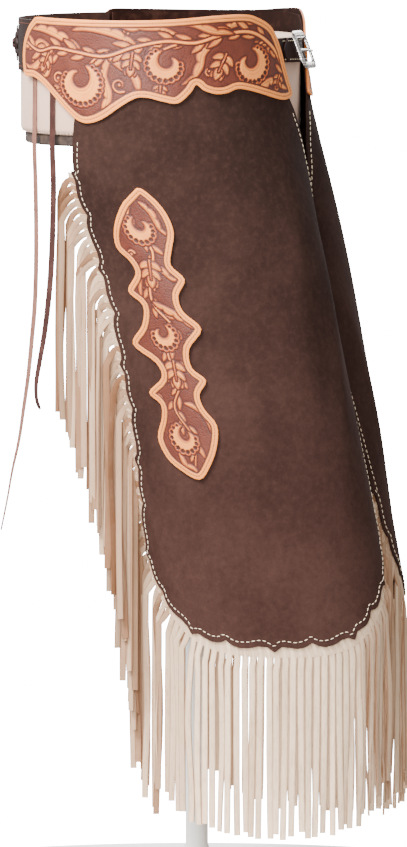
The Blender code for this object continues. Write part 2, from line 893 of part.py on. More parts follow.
def buckle(material):
    """A square frame with round corners and a tongue across it, leaning as the strap does."""
    outer = ring_outline(BUCKLE_WIDTH / 2, BUCKLE_HEIGHT / 2, BUCKLE_CORNER)
    inner = ring_outline(BUCKLE_WIDTH / 2 - BUCKLE_BAR, BUCKLE_HEIGHT / 2 - BUCKLE_BAR, WINDOW_CORNER)
    loops = []
    for outline, out in (
        (outer, BUCKLE_BACK),
        (outer, BUCKLE_THICKNESS - BUCKLE_SLOPE),
        (inner, BUCKLE_THICKNESS),
        (inner, BUCKLE_BACK),
    ):
        loops.append([on_buckle(x, z, out) for x, z in outline])
    joined_loops("buckle_frame", loops, material, ends_meet=True)

    over_bar = BUCKLE_THICKNESS + BUCKLE_GAP
    tongue_rows = (
        # across, out
        (-BUCKLE_WIDTH / 2 + BUCKLE_BAR + 0.6 * MM, 0.5 * MM),
        (-6 * MM, 0.8 * MM),
        (BUCKLE_WIDTH / 2 - BUCKLE_BAR - 1 * MM, over_bar),
        (BUCKLE_WIDTH / 2 - 1 * MM, over_bar),
    )
    loops = []
    for x, out in tongue_rows:
        low, high = -TONGUE_WIDTH / 2, TONGUE_WIDTH / 2
        corners = ((low, out), (high, out), (high, out + TONGUE_THICKNESS), (low, out + TONGUE_THICKNESS))
        loops.append([on_buckle(x, z, corner_out) for z, corner_out in corners])
    joined_loops("buckle_tongue", loops, material, ends_meet=False)


def rosette(side, material):
    """A scalloped leather rosette, slightly domed, seated on the back band."""
    height = (BAND_LOW + BAND_HIGH) / 2
    centre = waist_point(side, ROSETTE_DEGREES, height, SUEDE + ROSETTE_GAP)
    outside = waist_point(side, ROSETTE_DEGREES, height, SUEDE + ROSETTE_GAP + MM)
    normal = (outside - centre).normalized()
    upward = Vector((0, 0, 1))
    level = upward.cross(normal).normalized()
    count = ROSETTE_POINTS * 4
    loops = []
    for share, petals, out in ROSETTE_RINGS:
        loop = []
        for i in range(count):
            turn = math.tau * i / count
            radius = ROSETTE_RADIUS * share * (1 + petals * (math.cos(ROSETTE_POINTS * turn) - 1) / 2)
            loop.append(centre + (level * math.cos(turn) + upward * math.sin(turn)) * radius + normal * out)
        loops.append(loop)
    joined_loops(f"{SIDE_NAMES[side]}_rosette", loops, material, ends_meet=False)


def lace(name, rows, material):
    """A flat lace along its route, its wide side outwards."""
    middle = [Vector((RIGHT * out * MM, back * MM, height * MM)) for out, back, height in rows]
    out, back, _ = rows[0]
    outward = Vector((RIGHT * out / FORM_HALF_WIDTH ** 2, (back - FORM_BACK / MM) / FORM_HALF_DEPTH ** 2, 0))
    outward.normalize()
    loops = []
    for i, point in enumerate(middle):
        ahead = middle[min(i + 1, len(middle) - 1)] - middle[max(i - 1, 0)]
        across = ahead.cross(outward).normalized()
        thick = across.cross(ahead).normalized()
        wide = across * LACE_WIDTH / 2
        if i == len(middle) - 1:
            wide *= LACE_TIP
        deep = thick * LACE_THICKNESS / 2
        loops.append((point - wide + deep, point + wide + deep, point + wide - deep, point - wide - deep))
    joined_loops(name, loops, material, ends_meet=False)


def finish(name, colour, roughness, metallic=0.0):
    material = bpy.data.materials.new(name)
    material.use_nodes = True
    surface = material.node_tree.nodes["Principled BSDF"]
    surface.inputs["Base Color"].default_value = (*colour, 1.0)
    surface.inputs["Roughness"].default_value = roughness
    surface.inputs["Metallic"].default_value = metallic
    return material


def clear_scene():
    for thing in list(bpy.data.objects):
        bpy.data.objects.remove(thing)


def build():
    clear_scene()
    suede = finish("suede", (0.10, 0.05, 0.04), 0.95)
    tooled = finish("tooled_leather", (0.62, 0.33, 0.20), 0.5)
    fringe_suede = finish("fringe_suede", (0.72, 0.53, 0.42), 0.9)
    dark_leather = finish("dark_leather", (0.07, 0.03, 0.025), 0.6)
    outer_lace = finish("lace_leather", (0.34, 0.20, 0.18), 0.6)
    inner_lace = finish("lace_dark", (0.12, 0.05, 0.045), 0.6)
    silver = finish("silver", (0.70, 0.69, 0.66), 0.3, 1.0)
    form_cloth = finish("form_cloth", (0.80, 0.62, 0.50), 0.8)
    form_base = finish("form_base", (0.08, 0.06, 0.05), 0.6)
    stand_paint = finish("stand_paint", (0.85, 0.84, 0.82), 0.5)

    hip_form(form_cloth)
    form_plate(form_base)
    stand(stand_paint)
    on_suede = SUEDE + YOKE_GAP
    for side in (RIGHT, LEFT):
        word = SIDE_NAMES[side]
        wrapped_sheet(f"{word}_leg_panel", side, panel_outline(), 0.0, SUEDE, suede)
        wrapped_sheet(f"{word}_yoke", side, [flat(row) for row in YOKE],
                      on_suede, on_suede + TOOLED, tooled, longest=14.0)
        wrapped_sheet(f"{word}_overlay", side, [flat(row) for row in OVERLAY],
                      on_suede, on_suede + TOOLED, tooled, longest=14.0)
        band = rectangle(BAND_TO, BAND_FROM, BAND_LOW, BAND_HIGH)
        wrapped_sheet(f"{word}_back_band", side, band, 0.0, SUEDE, dark_leather, place=waist_point)
        fringe(side, fringe_suede)
        rosette(side, dark_leather)
    front_straps(dark_leather)
    buckle(silver)
    for (name, rows), material in zip(LACES.items(), (outer_lace, inner_lace)):
        lace(name, rows, material)


build()
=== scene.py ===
"""The looks of a pair of fringed leather chaps, worn on a limbless hip form on a stand.

Places on the leather are degrees round the leg and millimetres of height, or both in millimetres on the
flat sheet. Places in space are metres: the wearer faces -Y, the right leg is at -X, and +Z is up.
"""

import math

import bpy
import numpy as np
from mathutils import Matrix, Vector
from mathutils.geometry import delaunay_2d_cdt


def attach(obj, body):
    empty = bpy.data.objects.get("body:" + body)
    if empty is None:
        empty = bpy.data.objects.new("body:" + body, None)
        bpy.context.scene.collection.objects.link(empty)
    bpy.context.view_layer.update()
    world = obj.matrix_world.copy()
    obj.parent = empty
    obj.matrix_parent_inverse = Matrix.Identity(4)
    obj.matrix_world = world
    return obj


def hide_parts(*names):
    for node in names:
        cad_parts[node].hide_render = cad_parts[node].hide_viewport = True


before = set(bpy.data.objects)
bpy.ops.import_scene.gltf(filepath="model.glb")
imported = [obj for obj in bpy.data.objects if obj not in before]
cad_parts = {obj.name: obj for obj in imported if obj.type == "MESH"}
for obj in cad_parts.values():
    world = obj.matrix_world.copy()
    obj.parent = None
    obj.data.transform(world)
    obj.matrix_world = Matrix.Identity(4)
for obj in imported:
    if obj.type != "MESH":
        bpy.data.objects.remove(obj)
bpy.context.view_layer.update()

MM = 0.001
RIGHT = -1
LEFT = 1
SIDE_NAMES = {RIGHT: "right", LEFT: "left"}

# Leather and gaps, as in the solids
SUEDE = 1.8 * MM
TOOLED = 2.6 * MM
SEAM_GAP = 0.3 * MM
YOKE_GAP = 0.5 * MM
FRINGE_LEATHER = 1.3 * MM
GIRTH_PER_DEGREE = 2.44

# How fine the meshes are, in millimetres on the flat sheet
SUEDE_STEP = 5.0
STRAP_MESH = 2.4
YOKE_STEP = 1.1
OVERLAY_STEP = 1.0
EDGE_STEP = 1.9
SEAM_STEP = 3.0

# The hip form and its stand
FORM_HALF_WIDTH = 178 * MM
FORM_HALF_DEPTH = 146 * MM
FORM_BACK = 40 * MM
FORM_BOTTOM = 787 * MM
FORM_TOP = 889 * MM
FORM_ROUNDING = 7 * MM
PLATE_INSET = 5 * MM
PLATE_HEIGHT = 11 * MM
POLE_RADIUS = 12 * MM
FOOT_RADIUS = 165 * MM
FOOT_HEIGHT = 8 * MM

# The inner face of each leg, level by level, from below up. Millimetres.
LEVELS = np.array((
    # height, middle_out, half_out, half_fore, right_back, left_back
    (200, 67.6, 93.2, 128.4, -119.6, -94.9),
    (240, 67.0, 95.0, 129.0, -111.0, -88.0),
    (307, 66.0, 98.0, 130.0, -96.6, -76.4),
    (400, 64.0, 105.0, 131.0, -75.6, -57.9),
    (500, 62.0, 112.0, 132.0, -52.8, -41.5),
    (600, 61.5, 116.0, 136.0, -27.7, -17.6),
    (700, 60.0, 120.0, 140.0, -2.5, 8.3),
    (800, 25.0, 160.0, 146.0, 34.0, 30.6),
    (850, 3.0, 176.8, 147.2, 39.8, 39.7),
    (870, 0.5, 178.2, 146.8, 40.0, 40.0),
    (920, 0.0, 178.5, 146.5, 40.0, 40.0),
))
LEVEL_SPREAD = (-40, -20, 0, 20, 40)  # each height takes the mean of the levels this far from it
SCALLOPED_EDGE = (
    # degrees, height
    (-20.5, 806), (-24.0, 785), (-28.5, 758), (-32.0, 735), (-33.0, 700), (-32.5, 655), (-32.7, 610),
    (-34.5, 565), (-36.7, 520), (-39.2, 480), (-43.0, 440), (-47.5, 400), (-52.5, 365), (-53.5, 335),
    (-49.5, 308), (-42.0, 286), (-31.0, 266), (-18.0, 255), (-2.0, 250.5), (16.0, 250.5), (32.0, 252),
    (46.0, 258), (58.0, 270), (70.0, 288), (82.0, 307), (93.0, 330), (100.0, 358), (103.0, 385),
    (104.5, 405),
)
SCALLOP = (
    # share of the scallop, out
    (0.00, 4.8), (0.09, -1.0), (0.18, 0.1), (0.27, 1.3), (0.37, -0.4), (0.45, -4.6), (0.52, -0.4),
    (0.60, 1.7), (0.72, 0.9), (0.83, -1.5), (0.93, -0.8), (1.00, 4.8),
)
SCALLOP_COUNT = 9
PLAIN_BEFORE_SCALLOPS = 62.0
INNER_EDGE = (
    # degrees, height
    (108, 440), (113, 500), (116, 560), (117, 640), (117, 700), (111, 724), (104, 750), (98, 780),
    (89, 810),
)
UNDER_YOKE = (
    # degrees, height
    (82, 829), (77, 854), (72.5, 878), (67, 897), (59.5, 908), (40, 910.5), (24, 907.5), (8, 906.5),
    (-8, 906.5), (-28, 907.5), (-39.5, 907.5), (-39.5, 850), (-32.5, 843), (-26.5, 830), (-21, 815),
)
YOKE = (
    # degrees, height
    (-40, 911), (-28, 911), (-8, 910), (8, 910), (24, 911), (40, 914), (54, 915), (61, 911), (69, 900),
    (74.5, 879), (79, 854), (84, 831), (83, 826), (79, 823.5), (74, 824), (67, 828), (58, 834),
    (51, 837), (46, 833), (41, 832), (36, 836), (33, 842), (30.5, 834), (25, 823), (19, 825), (13, 829),
    (8, 828), (1, 818), (-4, 810), (-9, 804), (-14, 801.5), (-18, 804), (-22, 812), (-28, 827),
    (-34, 840), (-41, 848), (-48, 848.5), (-50.5, 853), (-51.5, 868), (-50, 885), (-45, 902),
)
OVERLAY = (
    # degrees, height
    (-1, 734), (4, 726), (8, 709), (9, 688), (6, 669), (4, 653), (8.5, 638), (4, 621), (4.5, 604),
    (10.5, 586), (3, 565), (2, 545), (7, 532), (2.5, 517), (3, 502), (7, 485), (5, 464), (0, 443),
    (-7, 427), (-16, 438), (-21, 451), (-23, 471), (-18.5, 492), (-17.5, 506), (-22, 518),
    (-13.5, 534), (-14.5, 550), (-24, 569), (-16.5, 589), (-13.5, 610), (-19, 625), (-13, 643),
    (-14, 656), (-19, 671), (-17, 692), (-9, 719),
)

# Soft creases in the suede, each along a line on the flat sheet. They die out under the yoke.
FOLDS_END = 812
FOLDS_FADE = 50
FOLDS = {
    RIGHT: (
        # from degrees, height, to degrees, height, half width, rise
        (-24, 770, 6, 560, 16, 1.6),
        (78, 800, 60, 560, 20, 2.4),
        (100, 660, 70, 430, 18, 2.6),
        (-34, 520, -12, 360, 13, 1.8),
        (36, 400, 62, 290, 16, 1.5),
        (46, 800, 34, 640, 18, 1.2),
        (-44, 420, -36, 300, 9, 1.6),
        (20, 330, -10, 262, 15, 1.3),
    ),
    LEFT: (
        # from degrees, height, to degrees, height, half width, rise
        (-26, 740, 2, 540, 15, 1.7),
        (84, 780, 64, 540, 20, 2.2),
        (98, 600, 74, 400, 17, 2.4),
        (-36, 500, -10, 350, 14, 1.7),
        (40, 420, 60, 300, 17, 1.4),
        (50, 790, 38, 650, 18, 1.1),
        (6, 340, -16, 262, 13, 1.4),
    ),
}

# The fringe under each scalloped edge. Along and past the edge in millimetres, the rest in metres.
STRAND_WIDTH = 7.1 * MM
STRAND_PITCH = 9.3
STEEP_PITCH_LOSS = 1.6
STRIP_OUTER_INSET = 5.0
STRIP_INNER_INSET = 16.0
STRIP_PAST_EDGE = 10.5
STRIP_BELOW_STRANDS = 0.15 * MM
PAST_EDGE = 10.5
DROOP = 16 * MM
STRAND_LENGTH = 236 * MM
SHORT_STRANDS = 0.84
SHORT_BELOW = 300 * MM
THROWN = 1.45 * PAST_EDGE
THROWN_FURTHER = 9.0
THROWN_FURTHER_BETWEEN = (0.60, 0.78)
CROWD_TURN = math.radians(44)
STRIP_TONE = 0.3

# Sewing
EDGE_SEAM_INSET = 6.4
EDGE_SEAM_SKIPS = 14
SUEDE_THREAD_LIFT = 0.15 * MM
STRAP_THREAD_LIFT = 0.12 * MM
BAND_SEAM_INSET = 4.5
STRAP_SEAM_INSET = 3.2
YOKE_BORDER = 6.6
OVERLAY_BORDER = 6.0
STITCH_IN_BORDER = 0.55

# Waist closing
WAIST_CLEAR = 0.8 * MM
BAND_LOW = 853
BAND_HIGH = 908
BAND_FROM = -41.0
BAND_TO = -89.6
STRAP_LOW = 862
STRAP_HIGH = 888
STRAP_LEAN = 10 * MM
STRAP_OVERLAP_GAP = 0.7 * MM
STRAP_STEP = 0.4 * MM
STRAP_TIP = 102.0
STRAP_SEAM_FROM = 78.2
OVERLAP_FROM = 84.5
OVERLAP_RISE = 4.5
STRAP_LEAN_HALF_WIDTH = 42 * MM
BUCKLE_WIDTH = 46 * MM
BUCKLE_HEIGHT = 42 * MM
BUCKLE_BAR = 7 * MM
BUCKLE_THICKNESS = 3.6 * MM
BUCKLE_GAP = 0.5 * MM
ROSETTE_DEGREES = -74.0
ROSETTE_RADIUS = 19 * MM
ROSETTE_PETALS = 8
ROSETTE_GAP = 0.5 * MM

LACE_WIDTH = 8.5 * MM
LACE_THICKNESS = 1.7 * MM
LACES = {
    "lace_outer": (
        # out, back, height
        (131, 140.6, 852), (131, 140.8, 815), (131, 141.0, 771), (131, 139.7, 729), (131, 139.1, 665),
        (131, 140.5, 611), (131, 143.6, 575), (131, 148.0, 532), (131, 153.4, 495), (131, 158.3, 463),
        (131, 165.6, 431), (131, 171.5, 399), (131, 178.2, 367),
    ),
    "lace_inner": (
        # out, back, height
        (155.3, 113.8, 836.5), (155.3, 114.0, 800), (155.3, 114.0, 770), (155.3, 112.8, 730),
        (155.3, 114.5, 667), (155.3, 117.2, 625), (155.3, 122.2, 582), (155.3, 128.0, 549),
        (155.3, 132.0, 525), (155.3, 131.6, 508), (155.3, 127.7, 497),
    ),
}


# Places on the leather

def unit(vectors):
    return vectors / np.linalg.norm(vectors, axis=-1, keepdims=True)


def fold_rise(side, degrees, height):
    """How far soft creases lift the suede, in metres."""
    rise = np.zeros(np.broadcast(degrees, height).shape)
    x, y = degrees * GIRTH_PER_DEGREE + rise, height + rise
    for from_degrees, from_height, to_degrees, to_height, half_width, top in FOLDS[side]:
        ax, ay = from_degrees * GIRTH_PER_DEGREE, from_height
        bx, by = to_degrees * GIRTH_PER_DEGREE - ax, to_height - ay
        share = np.clip(((x - ax) * bx + (y - ay) * by) / (bx * bx + by * by), 0, 1)
        away = np.hypot(x - ax - share * bx, y - ay - share * by)
        rise = rise + top * np.sin(np.pi * (0.12 + 0.76 * share)) * np.exp(-(away / half_width) ** 2)
    below_yoke = np.clip((FOLDS_END - y) / FOLDS_FADE, 0, 1)
    return rise * below_yoke * MM


def on_leg(side, degrees, height, out=0.0):
    """Points of the cloth's inner face, or out metres outside it."""
    degrees, height = np.asarray(degrees, float), np.asarray(height, float)
    middle_out, half_out, half_fore, right_back, left_back = (
        sum(np.interp(height + step, LEVELS[:, 0], column) for step in LEVEL_SPREAD) / len(LEVEL_SPREAD)
        for column in LEVELS[:, 1:].T)
    back = right_back if side == RIGHT else left_back
    turn = np.radians(degrees)
    across, along = half_fore * np.cos(turn), -half_out * np.sin(turn)
    size = np.hypot(across, along)
    out = out + fold_rise(side, degrees, height)
    return np.stack([
        side * ((middle_out + half_out * np.cos(turn)) * MM + out * across / size),
        (back - half_fore * np.sin(turn)) * MM + out * along / size,
        height * MM + 0 * turn,
    ], -1)


def on_waist(side, degrees, height, out=0.0):
    """Points just outside the hip form."""
    turn = np.radians(np.asarray(degrees, float))
    clear = WAIST_CLEAR + out
    return np.stack([
        side * (FORM_HALF_WIDTH + clear) * np.cos(turn),
        FORM_BACK - (FORM_HALF_DEPTH + clear) * np.sin(turn),
        np.asarray(height, float) * MM + 0 * turn,
    ], -1)


def on_strap(side, degrees, height, out=0.0):
    """The front strap follows the form and leans out at its lower edge near the buckle."""
    points = on_waist(side, degrees, height, out)
    near_middle = np.maximum(0, 1 - (points[..., 0] / STRAP_LEAN_HALF_WIDTH) ** 2) ** 2
    drop = (STRAP_HIGH - np.asarray(height, float)) / (STRAP_HIGH - STRAP_LOW)
    points[..., 1] -= (STRAP_LEAN * drop + STRAP_STEP) * near_middle
    return points


def on_strap_over(side, degrees, height, out=0.0):
    """The strap's tip end rises over the buckle end where they meet."""
    share = np.clip((np.asarray(degrees, float) - OVERLAP_FROM) / OVERLAP_RISE, 0, 1)
    rise = (3 - 2 * share) * share ** 2
    return on_strap(side, degrees, height, out + rise * (SUEDE + STRAP_OVERLAP_GAP))


def flat(rows):
    return np.array([(degrees * GIRTH_PER_DEGREE, height) for degrees, height in rows])


def curve_through(points, steps):
    """A smooth line through points."""
    points = np.asarray(points, float)
    padded = [2 * points[0] - points[1], *points, 2 * points[-1] - points[-2]]
    line = []
    for a, b, c, d in zip(padded, padded[1:], padded[2:], padded[3:]):
        for step in range(steps):
            t = step / steps
            line.append(0.5 * (2 * b + (c - a) * t + (2 * a - 5 * b + 4 * c - d) * t * t
                               + (3 * b - a - 3 * c + d) * t ** 3))
    line.append(points[-1])
    return np.array(line)


class Line:
    """A flat line that gives the place, direction and outward side at lengths along it."""

    def __init__(self, points):
        self.points = np.asarray(points, float)
        steps = np.linalg.norm(np.diff(self.points, axis=0), axis=1)
        self.along = np.concatenate([[0.0], np.cumsum(steps)])
        self.length = self.along[-1]

    def at(self, distance):
        return np.stack([np.interp(distance, self.along, column) for column in self.points.T], -1)

    def direction(self, distance):
        return unit(self.at(np.asarray(distance) + 4) - self.at(np.asarray(distance) - 4))

    def outward(self, distance):
        ahead = self.direction(distance)
        return np.stack([ahead[..., 1], -ahead[..., 0]], -1)


EDGE = Line(curve_through(flat(SCALLOPED_EDGE), 5))


def beside_edge(distances, out):
    return EDGE.at(distances) + EDGE.outward(distances) * np.asarray(out)[..., None]


def scalloped_line(inset):
    """The scalloped edge, or a line at an inset inside it."""
    pitch = (EDGE.length - PLAIN_BEFORE_SCALLOPS) / SCALLOP_COUNT
    shares, outs = np.array(SCALLOP).T
    distances = np.arange(0, EDGE.length, EDGE_STEP)
    places = ((distances - PLAIN_BEFORE_SCALLOPS) / pitch) % 1
    out = np.interp(places, shares, outs) * (distances > PLAIN_BEFORE_SCALLOPS)
    return beside_edge(distances, out - inset)


def to_the_left(points, ahead, inset):
    """Flat points moved to the left of the way ahead."""
    ahead = unit(ahead)
    return points + np.stack([-ahead[:, 1], ahead[:, 0]], -1) * inset


def split_long_edges(outline, longest):
    points = []
    for a, b in zip(outline, np.roll(outline, -1, 0)):
        pieces = max(1, math.ceil(np.linalg.norm(b - a) / longest))
        points += [a + (b - a) * piece / pieces for piece in range(pieces)]
    return np.array(points)


def rounded(rows, steps=4):
    """A smooth closed outline through a table's places."""
    points = flat(rows)
    looped = np.concatenate([points[-2:], points, points[:2]])
    return curve_through(looped, steps)[2 * steps:-2 * steps]


def against_clock(outline):
    x, y = outline.T
    area = np.sum(x * np.roll(y, -1) - np.roll(x, -1) * y)
    return outline if area > 0 else outline[::-1]


def inside(points, outline):
    x, y = points.T
    odd = np.zeros(len(points), bool)
    for a, b in zip(outline, np.roll(outline, -1, 0)):
        if a[1] != b[1]:
            crosses = (a[1] > y) != (b[1] > y)
            odd ^= crosses & (x < a[0] + (y - a[1]) * (b[0] - a[0]) / (b[1] - a[1]))
    return odd


def distance_to(points, line, closed=True):
    nearest = np.full(len(points), np.inf)
    ends = np.roll(line, -1, 0) if closed else line[1:]
    for a, b in zip(line, ends):
        edge = b - a
        share = np.clip((points - a) @ edge / max(edge @ edge, 1e-9), 0, 1)
        away = points - a - share[:, None] * edge
        nearest = np.minimum(nearest, np.hypot(away[:, 0], away[:, 1]))
    return nearest


# Meshes

def in_scene(name, data):
    piece = bpy.data.objects.new(name, data)
    bpy.context.scene.collection.objects.link(piece)
    return piece


def new_piece(name, points, faces, materials, face_material=None, smooth=True, sharp=40):
    mesh = bpy.data.meshes.new(name)
    mesh.from_pydata([tuple(p) for p in points], [], [tuple(f) for f in faces])
    for material in materials:
        mesh.materials.append(material)
    if face_material is not None:
        mesh.polygons.foreach_set("material_index", face_material)
    mesh.update()
    if smooth:
        mesh.shade_smooth()
        mesh.set_sharp_from_angle(angle=math.radians(sharp))
    return in_scene(name, mesh)


def set_values(piece, name, values):
    attribute = piece.data.attributes.new(name, "FLOAT", "POINT")
    attribute.data.foreach_set("value", np.asarray(values, np.float32))


def finished(piece, slot=None, nodes=()):
    """The piece rides on the only body, and stands for its solids."""
    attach(piece, "root")
    if nodes:
        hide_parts(*nodes)
    return piece


def filled(outline, step):
    """Flat points and triangles that fill an outline, on staggered rows."""
    border = split_long_edges(outline, step)
    low, high = border.min(0), border.max(0)
    rows = []
    for number, y in enumerate(np.arange(low[1] + step / 2, high[1], step * 0.87)):
        x = np.arange(low[0] + step * (0.25 + 0.5 * (number % 2)), high[0], step)
        rows.append(np.stack([x, np.full(len(x), y)], -1))
    grid = np.concatenate(rows)
    grid = grid[inside(grid, border)]
    grid = grid[distance_to(grid, border) > step * 0.45]
    points = np.concatenate([border, grid])
    count = len(border)
    border_edges = [(i, (i + 1) % count) for i in range(count)]
    made, _, triangles, *_ = delaunay_2d_cdt([Vector(p) for p in points], border_edges, [], 1, 1e-6)
    return np.array([tuple(p) for p in made]), triangles


def leather_piece(name, side, outline, step, inner, outer, materials, place=on_leg, relief=None):
    """A sheet of leather cut to a flat outline and wrapped round the body, with its tooled relief."""
    points, triangles = filled(against_clock(outline), step)
    degrees, height = points[:, 0] / GIRTH_PER_DEGREE, points[:, 1]
    raised, values = relief(points) if relief else (0.0, {})
    layers = [place(side, degrees, height, outer + raised), place(side, degrees, height, inner)]
    count = len(points)
    front, back, sides = [], [], []
    edges = {(a, b) for t in triangles for a, b in zip(t, t[1:] + t[:1])}
    for triangle in triangles:
        front.append(triangle if side == RIGHT else triangle[::-1])
        back.append([i + count for i in (triangle[::-1] if side == RIGHT else triangle)])
    for a, b in edges:
        if (b, a) not in edges:
            quad = (b, a, a + count, b + count)
            sides.append(quad if side == RIGHT else quad[::-1])
    faces = front + sides + back
    # Back faces take the last material. For the suede and tooled pieces, that is the near-black finish of painted
    # shade.
    marks = [0] * (len(front) + len(sides)) + [len(materials) - 1] * len(back)
    piece = new_piece(name, np.concatenate(layers), faces, materials, marks)
    for key, value in values.items():
        set_values(piece, key, np.concatenate([value, np.zeros(count)]))
    return piece


def tube_faces(count, sides, start=0, closed_way=False):
    """Faces of a tube through rings of points, joined end to end or capped."""
    faces = []
    for i in range(count if closed_way else count - 1):
        a, b = start + i * sides, start + (i + 1) % count * sides
        faces += [(a + j, a + (j + 1) % sides, b + (j + 1) % sides, b + j) for j in range(sides)]
    if not closed_way:
        last = start + (count - 1) * sides
        faces += [tuple(range(start, start + sides))[::-1], tuple(range(last, last + sides))]
    return faces


def swept(name, rings, material, closed_way=False, sharp=40):
    """A tube through rings of points, turned the right way out."""
    rings = np.asarray(rings)
    faces = tube_faces(*rings.shape[:2], closed_way=closed_way)
    piece = new_piece(name, rings.reshape(-1, 3), faces, [material], sharp=sharp)
    mesh = piece.data
    if sum(mesh.vertices[p.vertices[0]].co.dot(p.normal) * p.area for p in mesh.polygons) < 0:
        mesh.flip_normals()
    return piece


# Shader maths

def add_node(tree, kind, settings=None, sockets=None):
    """A node with its settings. Each socket is given a value, or another node's output."""
    node = tree.nodes.new(kind)
    for key, value in (settings or {}).items():
        setattr(node, key, value)
    for key, value in (sockets or {}).items():
        if isinstance(value, bpy.types.NodeSocket):
            tree.links.new(value, node.inputs[key])
        else:
            node.inputs[key].default_value = value
    return node


class Value:
    """A node's number, which can stand in sums."""

    def __init__(self, finish, socket):
        self.finish = finish
        self.socket = socket

    def sum_with(self, operation, first, second):
        node = self.finish.add("ShaderNodeMath", {"operation": operation}, {0: first, 1: second})
        return self.finish.value(node, 0)

    def __add__(self, other):
        return self.sum_with("ADD", self, other)

    __radd__ = __add__

    def __sub__(self, other):
        return self.sum_with("SUBTRACT", self, other)

    def __rsub__(self, other):
        return self.sum_with("SUBTRACT", other, self)

    def __mul__(self, other):
        return self.sum_with("MULTIPLY", self, other)

    def least(self, other):
        return self.sum_with("MINIMUM", self, other)


def linear(red, green, blue):
    """A colour given in ordinary screen values, as the shader's own."""
    shares = np.array((red, green, blue)) / 255
    return (*np.where(shares <= 0.04, shares / 12.92, ((shares + 0.055) / 1.055) ** 2.4).tolist(), 1.0)


class Finish:
    """A material under construction."""

    def __init__(self, name, colour, roughness, metallic=0.0, sheen=0.0, gloss=0.5):
        self.material = bpy.data.materials.new(name)
        self.material.use_nodes = True
        self.tree = self.material.node_tree
        self.surface = self.tree.nodes["Principled BSDF"]
        for key, value in (("Base Color", colour), ("Roughness", roughness), ("Metallic", metallic),
                           ("Sheen Weight", sheen), ("Specular IOR Level", gloss)):
            self.surface.inputs[key].default_value = value
        self.place = self.value(self.add("ShaderNodeTexCoord"), "Object")

    def add(self, kind, settings=None, sockets=None):
        given = {key: getattr(value, "socket", value) for key, value in (sockets or {}).items()}
        return add_node(self.tree, kind, settings, given)

    def value(self, node, output):
        return Value(self, node.outputs[output])

    def attribute(self, name):
        return self.value(self.add("ShaderNodeAttribute", {"attribute_name": name}), "Fac")

    def noise(self, scale, detail=3.0, roughness=0.55, place=None):
        sockets = {"Vector": place or self.place, "Scale": scale, "Detail": detail, "Roughness": roughness}
        return self.value(self.add("ShaderNodeTexNoise", None, sockets), "Fac")

    def cells(self, scale):
        node = self.add("ShaderNodeTexVoronoi", None, {"Vector": self.place, "Scale": scale})
        return self.value(node, "Distance")

    def waves(self, settings, sockets):
        return self.value(self.add("ShaderNodeTexWave", settings, sockets), "Fac")

    def stretched(self, scale):
        node = self.add("ShaderNodeMapping", None, {"Vector": self.place, "Scale": scale})
        return self.value(node, "Vector")

    def ramp(self, value, low, high):
        """The value from low to high, as a share."""
        node = self.add("ShaderNodeMapRange", {"interpolation_type": "SMOOTHSTEP"},
                        {"Value": value, "From Min": low, "From Max": high})
        return self.value(node, "Result")

    def layers(self, colour, *layers):
        """A colour, with a share of each other colour laid over it in turn."""
        for share, other in layers:
            node = self.add("ShaderNodeMix", {"data_type": "RGBA"}, {0: share, 6: colour, 7: other})
            colour = self.value(node, 2)
        return colour

    def height(self):
        return self.value(self.add("ShaderNodeSeparateXYZ", None, {0: self.place}), "Z")

    def wear(self, colour, bump, roughness=None, depth=0.0003, strength=0.5):
        """Joins what changes over the surface to the shader."""
        self.tree.links.new(colour.socket, self.surface.inputs["Base Color"])
        if roughness:
            self.tree.links.new(roughness.socket, self.surface.inputs["Roughness"])
        node = self.add("ShaderNodeBump", None, {"Height": bump, "Distance": depth, "Strength": strength})
        self.tree.links.new(node.outputs["Normal"], self.surface.inputs["Normal"])
        return self.material


# Finishes

def suede_finish():
    """Brushed brown suede, darker and cooler at the hip and redder towards the hem."""
    upper, lower = linear(46, 31, 27), linear(62, 41, 36)
    pale, deep = linear(94, 67, 59), linear(27, 16, 13)
    made = Finish("brown suede", upper, 0.97, gloss=0.06)
    clouds = made.noise(11.0, 3.0, 0.55)
    nap = made.noise(150.0, 4.0, 0.7)
    fibre = made.noise(1100.0, 3.0, 0.7)
    colour = made.layers(
        upper,
        (made.ramp(made.height(), 0.86, 0.26), lower),
        (made.ramp(clouds, 0.42, 0.8) * 0.22, pale),
        (made.ramp(clouds, 0.55, 0.2) * 0.3, deep),
        (made.ramp(nap, 0.45, 0.75) * 0.16, pale),
        (made.ramp(nap, 0.52, 0.25) * 0.22, deep),
        (made.ramp(fibre, 0.5, 0.25) * 0.2, deep),
    )
    return made.wear(colour, fibre * 0.5 + nap * 0.6, depth=0.0006, strength=0.4)


